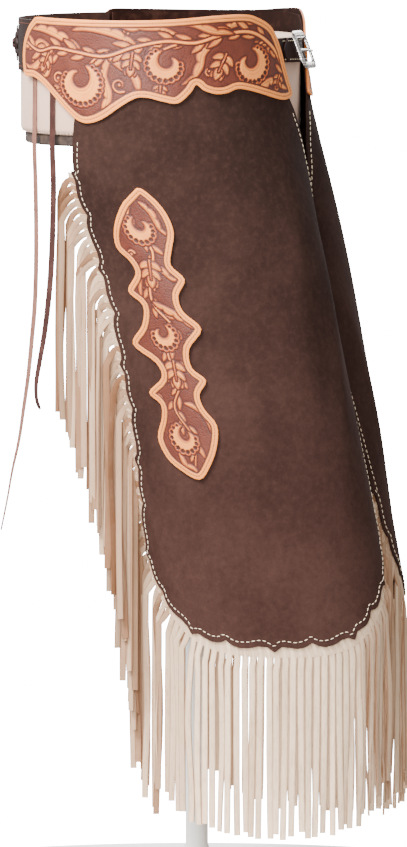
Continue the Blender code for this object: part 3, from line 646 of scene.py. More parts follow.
def tooled_finish():
    """Carved leather: pale raised work on a stained, stippled ground, inside a pale border. The raised work darkens
    towards its edges as painted shade, and its grooves are dark, partly as cut lines and partly as painted shade.
    """
    ground = linear(96, 42, 28)
    made = Finish("tooled leather", ground, 0.5, gloss=0.4)
    motif, rim, cut = made.attribute("motif"), made.attribute("rim"), made.attribute("cut")
    mottle = made.noise(55.0, 4.0, 0.6)
    grain = made.noise(900.0, 3.0, 0.6)
    dots = made.ramp(made.cells(620.0), 0.55, 0.2)
    colour = made.layers(
        ground,
        (dots * 0.5, linear(56, 22, 14)),
        (made.ramp(mottle, 0.4, 0.7) * 0.35, linear(122, 58, 38)),
        # Darker orange towards each form's edge and pale at its middle: painted shade on the rounded sides of the
        # raised work.
        (made.ramp(motif, 0.15, 0.5), linear(172, 74, 30)),
        (made.ramp(motif, 0.5, 1.0), linear(255, 154, 68)),
        (motif * made.ramp(mottle, 0.42, 0.72) * 0.35, linear(214, 106, 44)),
        (rim, linear(255, 150, 64)),
        (rim * made.ramp(mottle, 0.45, 0.75) * 0.35, linear(228, 118, 46)),
        # Grooves, border line, stitch groove and bead hollows are darkened: partly dark cut lines, partly painted shade
        # in the recesses.
        (cut * 0.85, linear(44, 17, 11)),
    )
    low_ground = dots * (1 - motif.least(1.0)) * (1 - rim)
    return made.wear(colour, grain * 0.25 - low_ground * 0.9, 0.42 + mottle * 0.2, depth=0.0004)


def fringe_finish():
    """Pale soft suede, a little different from strand to strand, with painted shade: darker along each strand's two
    sides and on the crowded strands, where strands shade each other.
    """
    base = linear(255, 222, 186)
    made = Finish("fringe suede", base, 0.95, sheen=0.03, gloss=0.1)
    fibre = made.noise(420.0, 4.0, 0.7, made.stretched((1.0, 1.0, 0.16)))
    clouds = made.noise(38.0, 3.0, 0.6)
    colour = made.layers(
        base,
        # Darker brown as painted shade on the crowded strands of the steep back edge, plus a random tone for each
        # strand.
        (made.attribute("tone_and_shade"), linear(142, 98, 68)),
        (made.ramp(clouds, 0.45, 0.7) * 0.2, linear(206, 164, 130)),
        (made.ramp(fibre, 0.55, 0.3) * 0.32, linear(160, 116, 88)),
        # Painted shade along each strand's two sides, where neighbouring strands shade each other.
        (made.ramp(made.attribute("side_shade"), 0.62, 1.0) * 0.6, linear(132, 88, 62)),
    )
    return made.wear(colour, fibre, depth=0.0004)


def smooth_leather(name, red, green, blue, roughness=0.55, gloss=0.35):
    """Smooth dyed leather with a fine grain and scuffed spots."""
    base = linear(red, green, blue)
    made = Finish(name, base, roughness, gloss=gloss)
    clouds = made.noise(60.0, 4.0, 0.65)
    fine = made.noise(1400.0, 3.0, 0.6)
    colour = made.layers(
        base,
        (made.ramp(clouds, 0.48, 0.75) * 0.5, linear(red + 34, green + 26, blue + 22)),
        (made.ramp(clouds, 0.48, 0.28) * 0.5, linear(red * 0.66, green * 0.62, blue * 0.6)),
    )
    rough = roughness - 0.1 + made.ramp(clouds, 0.3, 0.7) * 0.2
    return made.wear(colour, fine * 0.5 + made.cells(900.0), rough, depth=0.00025, strength=0.4)


def thread_finish(name, red, green, blue):
    base = linear(red, green, blue)
    made = Finish(name, base, 0.75)
    twist = made.noise(1600.0, 2.0, 0.5)
    darker = linear(red * 0.7, green * 0.65, blue * 0.6)
    return made.wear(made.layers(base, (made.ramp(twist, 0.55, 0.3) * 0.4, darker)), twist, depth=0.0002)


def silver_finish():
    """White metal cut with fine scrolls, dark in the cuts."""
    base = linear(214, 209, 205)
    made = Finish("engraved silver", base, 0.3, 1.0)
    scrolls = made.waves({"wave_type": "RINGS"}, {"Vector": made.place, "Scale": 150.0, "Distortion": 9.0,
                                                  "Detail": 2.0, "Detail Scale": 1.6})
    cuts = made.ramp(scrolls, 0.3, 0.6)
    colour = made.layers(base, ((1 - cuts) * 0.75, linear(70, 62, 58)))
    rough = 0.2 + made.noise(90.0) * 0.25
    return made.wear(colour, cuts + made.cells(260.0) * 0.3, rough, strength=0.7)


def form_finish():
    """Plain woven display cloth."""
    base = linear(232, 190, 164)
    made = Finish("form cloth", base, 0.85, sheen=0.1)
    sheet = made.value(made.add("ShaderNodeUVMap", {"uv_map": "UVMap"}), "UV")
    warp, weft = (made.waves({"bands_direction": way}, {"Vector": sheet, "Scale": 420.0, "Distortion": 0.4})
                  for way in ("X", "Y"))
    weave = warp * weft
    colour = made.layers(
        base,
        (made.ramp(made.noise(22.0), 0.4, 0.7) * 0.4, linear(204, 160, 132)),
        ((1 - weave) * 0.12, linear(140, 100, 76)),
    )
    return made.wear(colour, weave)


def wood_finish():
    # A dark brown plate with a grain under the form, darker than the cloth above it.
    made = Finish("dark plate", linear(62, 48, 42), 0.6)
    rings = made.noise(60.0, 4.0, 0.6, made.stretched((1.0, 0.12, 1.0)))
    colour = made.layers(linear(46, 35, 31), (made.ramp(rings, 0.35, 0.65), linear(84, 66, 56)))
    return made.wear(colour, rings)


def paint_finish():
    base = linear(226, 224, 219)
    made = Finish("stand paint", base, 0.45)
    dust = made.noise(9.0, 4.0)
    colour = made.layers(base, (made.ramp(dust, 0.45, 0.75) * 0.35, linear(204, 200, 193)))
    return made.wear(colour, made.noise(320.0, 2.0), 0.38 + dust * 0.2, depth=0.0002, strength=0.2)


SUEDE_FINISH = suede_finish()
TOOLED_FINISH = tooled_finish()
# Near-black back faces for the suede and tooled pieces: a dark sheet as painted shade inside the legs and behind the
# yokes.
BACK_FACE_SHADE_FINISH = smooth_leather("back faces in painted shade", 26, 13, 10, 0.95, 0.06)
FRINGE_FINISH = fringe_finish()
BAND_FINISH = smooth_leather("dark leather", 32, 15, 11, 0.55, 0.25)
OUTER_LACE_FINISH = smooth_leather("outer lace leather", 128, 84, 70, 0.6)
INNER_LACE_FINISH = smooth_leather("inner lace leather", 58, 28, 22, 0.6)
SILVER_FINISH = silver_finish()
FORM_FINISH = form_finish()
WOOD_FINISH = wood_finish()
PAINT_FINISH = paint_finish()
CREAM_THREAD = thread_finish("cream thread", 250, 228, 196)
TAN_THREAD = thread_finish("tan thread", 98, 50, 30)


# Tooling: generic plumes, stems, curls, crescents and sprigs, drawn on the flat sheet in millimetres

def reached(x, y, reach, turn):
    """The place at a reach and a turn from a middle."""
    return x + reach * np.cos(turn), y + reach * np.sin(turn)


class Carving:
    """The raised work on one piece of tooled leather. Later work lies over earlier work."""

    def __init__(self, points):
        self.points = points
        self.x, self.y = points.T
        self.motif = np.zeros(len(points))
        self.cut = np.zeros(len(points))

    def lay(self, room, soft=2.4):
        """Raises a form, from how far inside it each point is, and cuts the ground away round it."""
        self.motif = np.where(room > -1.5, 0, self.motif)
        self.cut = np.where(room > -1.5, 0, self.cut)
        # The share rises from the edge over soft millimetres. It gives both the height and the painted shade on the
        # edge.
        self.motif = np.maximum(self.motif, np.clip(room / soft + 0.25, 0, 1))
        self.groove(room + 1.0, 1.0)

    def groove(self, away, width, depth=1.0):
        self.cut = np.maximum(self.cut, np.clip(1 - np.abs(away) / width, 0, 1) * depth)

    def beside(self, line):
        """Each point's share along a line, its distance to the left of it, and how far away it is."""
        steps = np.linalg.norm(np.diff(line, axis=0), axis=1)
        starts = np.concatenate([[0.0], np.cumsum(steps)])
        share, left, nearest = (np.full(len(self.x), value) for value in (0.0, 0.0, np.inf))
        for number, (a, b) in enumerate(zip(line, line[1:])):
            edge = b - a
            offset = self.points - a
            along = np.clip(offset @ edge / (edge @ edge), 0, 1)
            away = np.hypot(*(offset - along[:, None] * edge).T)
            closer = away < nearest
            side = np.sign(edge[0] * offset[:, 1] - edge[1] * offset[:, 0])
            share = np.where(closer, (starts[number] + along * steps[number]) / starts[-1], share)
            left = np.where(closer, side * away, left)
            nearest = np.where(closer, away, nearest)
        return share, left, nearest

    def stem(self, places, width=1.3):
        share, _, away = self.beside(curve_through(places, 6))
        self.lay(width * (1 - 0.45 * share) - away, 1.0)

    def curl(self, x, y, size, start, hand):
        """A small stem that winds in from its start angle to a bead."""
        steps = np.arange(15) / 14
        turns = math.radians(start) + hand * steps * 8.2
        radius = size * (1 - steps) ** 0.85
        self.stem(np.stack(reached(x, y, radius, turns), -1), 1.2)
        self.lay(1.5 - np.hypot(self.x - x, self.y - y), 1.0)

    def plume(self, places, width, lobes=0, hand=1):
        """A long leaf along a curve, with lobes on one side and grooves that flow along it."""
        share, left, away = self.beside(curve_through(places, 6))
        half = width * np.sin(np.pi * share ** 0.8) ** 0.7 + 0.3
        if lobes:
            notched = 0.62 + 0.5 * np.abs(np.sin(np.pi * lobes * share)) ** 0.7
            half = np.where(left * hand > 0, half * notched, half * 0.8)
        room = half - away
        self.lay(room)
        middle = np.clip((half - 1.2) / 1.2, 0, 1)
        self.groove(left + 0.12 * half, 0.9, 0.9 * middle)
        for part in (-0.58, 0.5):
            self.groove(np.where(room > 0.4, left * hand + part * half, 9), 0.75, 0.7 * middle)
        if lobes:
            veins = (share * lobes) % 1
            inside_lobe = (left * hand > 0.25 * half) & (room > 0)
            self.groove(np.where(inside_lobe, np.minimum(veins, 1 - veins) * 9, 9), 1.5, 0.95)

    def leaf(self, x, y, angle, length, width, bend=0.0):
        """A small plain leaf from its root, bent to the left by its tip."""
        turn = math.radians(angle)
        middle = reached(*reached(x, y, length * 0.5, turn), bend * 0.3, turn + math.pi / 2)
        tip = reached(*reached(x, y, length, turn), bend, turn + math.pi / 2)
        self.plume([(x, y), middle, tip], width)

    def leaves_along(self, places, spacing, length, width):
        """Small leaves on both sides of a stem, all leaning the way that it runs."""
        line = Line(curve_through(places, 6))
        for number, distance in enumerate(np.arange(spacing, line.length - length * 0.6, spacing)):
            ahead = line.direction(distance)
            hand = 1 if number % 2 else -1
            angle = math.degrees(math.atan2(ahead[1], ahead[0])) + hand * 44
            size = length * (0.85 + 0.3 * (number % 3) / 2)
            self.leaf(*line.at(distance), angle, size, width, -hand * length * 0.28)

    def sprig(self, x, y, angle, size):
        """Paired rounded leaves on a short stem, with one at the tip."""
        turn = math.radians(angle)
        for share, spread, length in ((0.12, 74, 0.5), (0.42, 62, 0.5), (0.72, 46, 0.42)):
            for hand in (1, -1):
                self.leaf(*reached(x, y, size * share, turn), angle + hand * spread, size * length,
                          size * 0.1 + 0.9, -hand * size * 0.12)
        self.leaf(*reached(x, y, size * 0.6, turn), angle, size * 0.55, size * 0.13 + 0.8)
        self.stem([reached(x, y, size * share, turn) for share in (0, 0.5, 0.8)], 0.9)

    def crescent(self, x, y, radius, start, sweep, thick):
        """A curled band, thick in its middle, with a row of round punched beads outside it."""
        start, sweep = math.radians(start), math.radians(sweep)

        def reach(share):
            return radius * (1 - 0.42 * share ** 2)

        def half_thick(share):
            return thick * np.sin(np.pi * np.clip(share * 0.94 + 0.03, 0, 1)) ** 0.75

        steps = np.arange(19) / 18
        share, left, away = self.beside(np.stack(reached(x, y, reach(steps), start + sweep * steps), -1))
        half = half_thick(share)
        room = half - away
        beads = round(abs(sweep) * (radius + thick) / 7.4)
        row = []
        for place in (np.arange(beads) + 0.5) / beads * 0.84 + 0.03:
            bead_x, bead_y = reached(x, y, reach(place) + half_thick(place), start + sweep * place)
            row.append((np.hypot(self.x - bead_x, self.y - bead_y), 1.9 + 1.3 * math.sin(math.pi * place)))
        for away, size in row:
            room = np.maximum(room, size + 0.9 - away)
        self.lay(room)
        for away, size in row:
            # Each bead's hollow is darkened: painted shade in the punched hollow, and partly its dark cut.
            self.cut = np.maximum(self.cut, np.clip((size * 0.86 - away) / 0.5, 0, 1))
            self.motif = np.where(away < size * 0.8, self.motif * 0.2, self.motif)
        outside = left * (-1 if sweep > 0 else 1)
        self.groove(np.where(room > 0.5, outside + half * 0.62, 9), 0.85, 0.9)
        self.groove(np.where(room > 0.5, outside + half * 0.1, 9), 0.6, 0.35)


YOKE_STEM = [(198, 834), (186, 856), (168, 880), (140, 896), (108, 894), (80, 886), (52, 888), (22, 882),
             (-8, 872), (-38, 876), (-66, 880), (-90, 876), (-116, 886)]
OVERLAY_STEM = [(-12, 724), (-22, 700), (-6, 668), (-16, 640), (-20, 612), (-4, 586), (-18, 560), (-12, 530),
                (-26, 502), (-12, 470), (-18, 440)]


def yoke_carving(carving):
    """Work that flows from the front corner towards the back, round three crescents."""
    for x, y, size, start, hand in ((-96, 864, 7, 20, 1), (12, 898, 5.5, 200, 1), (94, 856, 7, 60, -1),
                                    (6, 842, 8, 300, -1), (170, 897, 6, 200, 1), (-62, 848, 6.5, 30, 1),
                                    (24, 832, 5.5, 120, -1), (184, 874, 6, 250, 1), (-112, 898, 4.5, 0, 1)):
        carving.curl(x, y, size, start, hand)
    for places, width, lobes, hand in (
        ([(66, 894), (40, 903), (20, 901), (6, 904)], 3.4, 3, 1),
        ([(24, 884), (2, 896), (-22, 901), (-44, 899)], 4.8, 5, -1),
        ([(-34, 880), (-60, 893), (-82, 899), (-108, 899)], 4.8, 5, -1),
        ([(-60, 874), (-84, 866), (-104, 858), (-118, 862)], 4.6, 4, 1),
        ([(-60, 874), (-74, 862), (-80, 850), (-96, 852)], 3.6, 3, 1),
        ([(-2, 872), (-10, 852), (-6, 832), (-14, 814), (-28, 808)], 5.0, 5, -1),
        ([(-6, 872), (8, 862), (20, 852), (26, 836), (38, 829)], 4.4, 4, 1),
        ([(104, 890), (88, 876), (84, 860), (76, 848), (66, 842)], 4.6, 4, -1),
        ([(106, 894), (114, 902), (128, 906), (150, 905)], 3.8, 3, 1),
        ([(150, 892), (162, 880), (174, 870), (186, 858)], 4.0, 3, -1),
        ([(194, 834), (170, 844), (150, 838), (132, 838), (116, 834)], 4.8, 5, 1),
        ([(192, 844), (194, 868), (184, 888), (176, 900)], 3.8, 4, 1),
        ([(-70, 880), (-88, 886), (-100, 880), (-118, 878)], 3.4, 3, 1),
    ):
        carving.plume(places, width, lobes, hand)
    carving.leaves_along(YOKE_STEM, 10.0, 17.0, 2.9)
    for x, y, angle, size in ((112, 874, 245, 26), (20, 876, 262, 22), (-74, 874, 238, 20),
                              (-54, 836, 190, 17), (46, 842, 262, 15), (180, 850, 250, 17)):
        carving.sprig(x, y, angle, size)
    for places in ([(176, 872), (162, 886), (144, 881)], [(86, 888), (64, 885), (46, 878)],
                   [(4, 876), (-14, 872), (-26, 861)]):
        carving.stem(places, 1.8)
    carving.stem(YOKE_STEM, 2.1)
    carving.plume([(120, 895), (98, 898), (76, 906), (52, 905)], 4.0, 4, -1)
    carving.crescent(140, 864, 15.0, 80, -300, 7.4)
    carving.crescent(52, 865, 13.5, 110, 290, 6.6)
    carving.crescent(-36, 846, 17.5, 60, -310, 8.2)


def overlay_carving(carving):
    """Three crescents down the thigh, with sprigs between them on a winding stem."""
    for x, y, size, start, hand in ((12, 636, 4.5, 180, -1), (-30, 626, 4.5, 0, 1), (14, 576, 5, 180, -1),
                                    (8, 516, 4.5, 170, -1), (-44, 512, 5, 0, 1), (-30, 664, 4.5, 20, 1)):
        carving.curl(x, y, size, start, hand)
    carving.leaves_along(OVERLAY_STEM, 9.5, 14.0, 2.5)
    carving.stem(OVERLAY_STEM, 1.5)
    for places, width, lobes, hand in (
        ([(-18, 654), (-2, 648), (8, 638), (16, 640)], 3.2, 3, 1),
        ([(-14, 652), (-26, 642), (-30, 630), (-32, 618)], 3.0, 3, -1),
        ([(-20, 614), (-6, 606), (6, 598), (18, 586)], 3.8, 4, -1),
        ([(-16, 550), (-2, 546), (8, 536), (10, 524)], 3.4, 3, 1),
        ([(-14, 540), (-28, 532), (-40, 526), (-48, 518)], 3.6, 3, -1),
        ([(-6, 720), (4, 708), (8, 692), (16, 682)], 3.4, 4, 1),
        ([(-14, 508), (0, 502), (8, 490), (10, 474)], 3.4, 4, 1),
        ([(-34, 456), (-30, 444), (-20, 438), (-16, 432)], 3.0, 2, 1),
        ([(-30, 604), (-38, 592), (-46, 580), (-52, 570)], 3.2, 3, 1),
    ):
        carving.plume(places, width, lobes, hand)
    carving.sprig(-12, 658, 262, 26)
    carving.sprig(-14, 552, 265, 26)
    carving.crescent(-12, 693, 11.5, 120, 290, 6.0)
    carving.crescent(-18, 580, 10.5, 60, -290, 5.4)
    carving.crescent(-22, 472, 11.5, 100, 300, 6.0)


def tooling(outline, carve, border, stitch_inset):
    """A relief function for one tooled piece: its carving inside a pale border with a stitch groove."""
    def relief(points):
        away = distance_to(points, outline)
        carving = Carving(points)
        carve(carving)
        field = np.clip((away - border - 1.2) / 0.9, 0, 1)
        rim = np.clip((border - away) / 0.7 + 0.5, 0, 1)
        line = np.clip(1 - np.abs(away - border - 0.9) / 0.9, 0, 1)
        groove = np.clip(1 - np.abs(away - stitch_inset) / 0.8, 0, 1)
        motif = carving.motif * field
        # The cut share darkens these lines in colour: partly dark cut lines, partly painted shade in the recesses.
        cut = np.maximum(carving.cut * field * 0.85, np.maximum(line, groove * 0.8))
        edge_fall = np.clip(1 - away / 1.2, 0, 1)
        raised = (motif * 0.6 + rim * 0.4 - carving.cut * field * 0.35 - line * 0.35 - groove * 0.45
                  - edge_fall * 0.5) * MM
        return raised, {"motif": motif, "rim": rim, "cut": cut}
    return relief


# Stitching

def thread_rows():
    """A tree that sets stitches, small rounded bars, along lines that lie on the leather."""
    tree = bpy.data.node_groups.new("thread rows", "GeometryNodeTree")
    sockets = {}
    for name, kind in (("Geometry", "NodeSocketGeometry"), ("Spacing", "NodeSocketFloat"),
                       ("Stitch Length", "NodeSocketFloat"), ("Thickness", "NodeSocketFloat"),
                       ("Thread", "NodeSocketMaterial")):
        sockets[name] = tree.interface.new_socket(name, in_out="INPUT", socket_type=kind).identifier
    tree.interface.new_socket("Geometry", in_out="OUTPUT", socket_type="NodeSocketGeometry")

    def add(kind, settings=None, **sockets):
        return add_node(tree, kind, settings, sockets)

    given = add("NodeGroupInput")
    curve = add("GeometryNodeMeshToCurve", Mesh=given.outputs["Geometry"])
    spaced = add("GeometryNodeResampleCurve", {"mode": "LENGTH"}, Curve=curve.outputs["Curve"],
                 Length=given.outputs["Spacing"])
    away = add("GeometryNodeInputNamedAttribute", {"data_type": "FLOAT_VECTOR"}, Name="away")
    along = add("GeometryNodeInputTangent")
    first = add("FunctionNodeAlignRotationToVector", {"axis": "X"}, Vector=along.outputs["Tangent"])
    turned = add("FunctionNodeAlignRotationToVector", {"axis": "Z", "pivot_axis": "X"},
                 Rotation=first.outputs["Rotation"], Vector=away.outputs["Attribute"])
    bar = add("GeometryNodeMeshUVSphere", Segments=6, Rings=5, Radius=0.5)
    size = add("ShaderNodeCombineXYZ", X=given.outputs["Stitch Length"], Y=given.outputs["Thickness"],
               Z=given.outputs["Thickness"])
    placed = add("GeometryNodeInstanceOnPoints", Points=spaced.outputs["Curve"], Instance=bar.outputs["Mesh"],
                 Rotation=turned.outputs["Rotation"], Scale=size.outputs["Vector"])
    real = add("GeometryNodeRealizeInstances", Geometry=placed.outputs["Instances"])
    smooth = add("GeometryNodeSetShadeSmooth", Geometry=real.outputs["Geometry"])
    coated = add("GeometryNodeSetMaterial", Geometry=smooth.outputs["Geometry"],
                 Material=given.outputs["Thread"])
    add("NodeGroupOutput", Geometry=coated.outputs["Geometry"])
    return tree, sockets


THREAD_ROWS, THREAD_SOCKETS = thread_rows()


def row_on(place, side, line, out):
    """A stitch line on the leather, and the way out of it at each point."""
    degrees, height = line[:, 0] / GIRTH_PER_DEGREE, line[:, 1]
    points = place(side, degrees, height, out)
    return points, unit(place(side, degrees, height, out + MM) - points)


def stitching(name, rows, thread, spacing, length, thickness):
    """One piece of sewing from several stitch lines."""
    points, ways, edges = [], [], []
    for row_points, outward in rows:
        start = len(points)
        points += [tuple(p) for p in row_points]
        ways += [tuple(w) for w in outward]
        edges += [(start + i, start + i + 1) for i in range(len(row_points) - 1)]
    mesh = bpy.data.meshes.new(name + "_lines")
    mesh.from_pydata(points, edges, [])
    away = mesh.attributes.new("away", "FLOAT_VECTOR", "POINT")
    away.data.foreach_set("vector", np.array(ways, np.float32).ravel())
    holder = in_scene(name + "_lines", mesh)
    modifier = holder.modifiers.new("rows", "NODES")
    modifier.node_group = THREAD_ROWS
    for key, value in (("Spacing", spacing), ("Stitch Length", length), ("Thickness", thickness),
                       ("Thread", thread)):
        modifier[THREAD_SOCKETS[key]] = value
    graph = bpy.context.evaluated_depsgraph_get()
    made = bpy.data.meshes.new_from_object(holder.evaluated_get(graph))
    bpy.data.objects.remove(holder)
    made.name = name
    finished(in_scene(name, made))


def closed_line(outline, inset):
    """A stitch line all round inside an outline."""
    points = against_clock(split_long_edges(outline, SEAM_STEP))
    moved = to_the_left(points, np.roll(points, -2, 0) - np.roll(points, 2, 0), inset)
    return np.concatenate([moved, moved[:1]])


def level_line(start, end, height, count=40):
    return np.stack([np.linspace(start, end, count), np.full(count, height)], -1)


# Leather pieces

def leg_panel(side):
    """One sheet of suede, sewn near its scalloped edge and near its inner edge."""
    outline = np.concatenate([scalloped_line(0.0), flat(INNER_EDGE), flat(UNDER_YOKE)])
    word = SIDE_NAMES[side]
    materials = [SUEDE_FINISH, BACK_FACE_SHADE_FINISH]
    panel = leather_piece(f"{word}_leg_suede", side, outline, SUEDE_STEP, 0.0, SUEDE, materials)
    finished(panel, "suede", [f"{word}_leg_panel"])
    inner = curve_through(flat(SCALLOPED_EDGE[-1:] + INNER_EDGE), 8)
    seams = (scalloped_line(EDGE_SEAM_INSET)[EDGE_SEAM_SKIPS:],
             to_the_left(inner, np.gradient(inner, axis=0), EDGE_SEAM_INSET))
    rows = [row_on(on_leg, side, seam, SUEDE + SUEDE_THREAD_LIFT) for seam in seams]
    stitching(f"{word}_leg_stitching", rows, CREAM_THREAD, 6.0 * MM, 4.6 * MM, 1.05 * MM)


def tooled_piece(side, word, rows, carve, border, step):
    name = f"{SIDE_NAMES[side]}_{word}"
    outline = against_clock(rounded(rows))
    inner, outer = SUEDE + YOKE_GAP, SUEDE + YOKE_GAP + TOOLED
    inset = border * STITCH_IN_BORDER
    piece = leather_piece(f"{name}_leather", side, outline, step, inner, outer, [TOOLED_FINISH, BACK_FACE_SHADE_FINISH],
                          relief=tooling(outline, carve, border, inset))
    finished(piece, "tooled_leather", [name])
    seam = row_on(on_leg, side, closed_line(outline, inset), outer - 0.05 * MM)
    stitching(f"{name}_stitching", [seam], TAN_THREAD, 3.4 * MM, 2.6 * MM, 0.75 * MM)


def back_band(side):
    """The dark band from the yoke to the closing behind, sewn on three sides."""
    word = SIDE_NAMES[side]
    low, high = BAND_TO * GIRTH_PER_DEGREE, BAND_FROM * GIRTH_PER_DEGREE
    outline = np.array([(low, BAND_LOW), (high, BAND_LOW), (high, BAND_HIGH), (low, BAND_HIGH)])
    band = leather_piece(f"{word}_band_leather", side, outline, SUEDE_STEP, 0.0, SUEDE, [BAND_FINISH],
                         place=on_waist)
    finished(band, "dark_leather", [f"{word}_back_band"])
    bottom, top = BAND_LOW + BAND_SEAM_INSET, BAND_HIGH - BAND_SEAM_INSET
    lines = [level_line(low + BAND_SEAM_INSET, high - 2, height) for height in (bottom, top)]
    lines.append(level_line(bottom, top, low + BAND_SEAM_INSET, 16)[:, ::-1])
    rows = [row_on(on_waist, side, line, SUEDE + STRAP_THREAD_LIFT) for line in lines]
    stitching(f"{word}_band_stitching", rows, TAN_THREAD, 3.8 * MM, 2.8 * MM, 0.8 * MM)


def front_strap(side, name, rows, place, last):
    strap = leather_piece(f"{name}_leather", side, flat(rows), STRAP_MESH, 0.0, SUEDE, [BAND_FINISH],
                          place=place)
    finished(strap, "dark_leather", [name])
    start, end = STRAP_SEAM_FROM * GIRTH_PER_DEGREE, last * GIRTH_PER_DEGREE
    lines = [level_line(start, end, height)
             for height in (STRAP_LOW + STRAP_SEAM_INSET, STRAP_HIGH - STRAP_SEAM_INSET)]
    rows = [row_on(place, side, line, SUEDE + STRAP_THREAD_LIFT) for line in lines]
    stitching(f"{name}_stitching", rows, CREAM_THREAD, 3.6 * MM, 2.6 * MM, 0.75 * MM)


# Fringe

def strand_plan(side):
    """Where each strand leaves the edge, and where it hangs. Steep stretches carry more strands."""
    middle = -(SEAM_GAP + FRINGE_LEATHER / 2)
    fine = np.arange(PLAIN_BEFORE_SCALLOPS + 8, EDGE.length - 6, 1.0)
    steep = np.abs(EDGE.direction(fine)[:, 1])
    count = np.cumsum(1 / (STRAND_PITCH - STEEP_PITCH_LOSS * steep ** 2))
    distances = np.interp(np.arange(0.5, count[-1]), count, fine)
    edge, outward = EDGE.at(distances), EDGE.outward(distances)

    def place(points, out=0.0):
        return on_leg(side, points[:, 0] / GIRTH_PER_DEGREE, points[:, 1], middle + out)

    beyond = edge + outward * (PAST_EDGE - STRIP_OUTER_INSET)
    bend = place(beyond)
    raised = unit(place(beyond, MM) - bend)
    level = place(edge + (1, 0)) - place(edge)
    thrown = THROWN + np.interp(bend[:, 2], THROWN_FURTHER_BETWEEN, (0, THROWN_FURTHER))
    root = place(edge - outward * (STRIP_OUTER_INSET + 2))
    return {
        "root": root,
        "bend": bend,
        "forward": unit(place(beyond + EDGE.direction(distances)) - bend),
        "raised": raised,
        "out": unit(bend - root),
        "hang": bend[:, :2] + level[:, :2] * (outward[:, 0] * thrown)[:, None],
        "along": unit(level * (1, 1, 0)),
        "face": unit(raised * (1, 1, 0)),
        "crowd": np.clip((np.abs(EDGE.direction(distances)[:, 1]) - 0.35) / 0.45, 0, 1),
    }


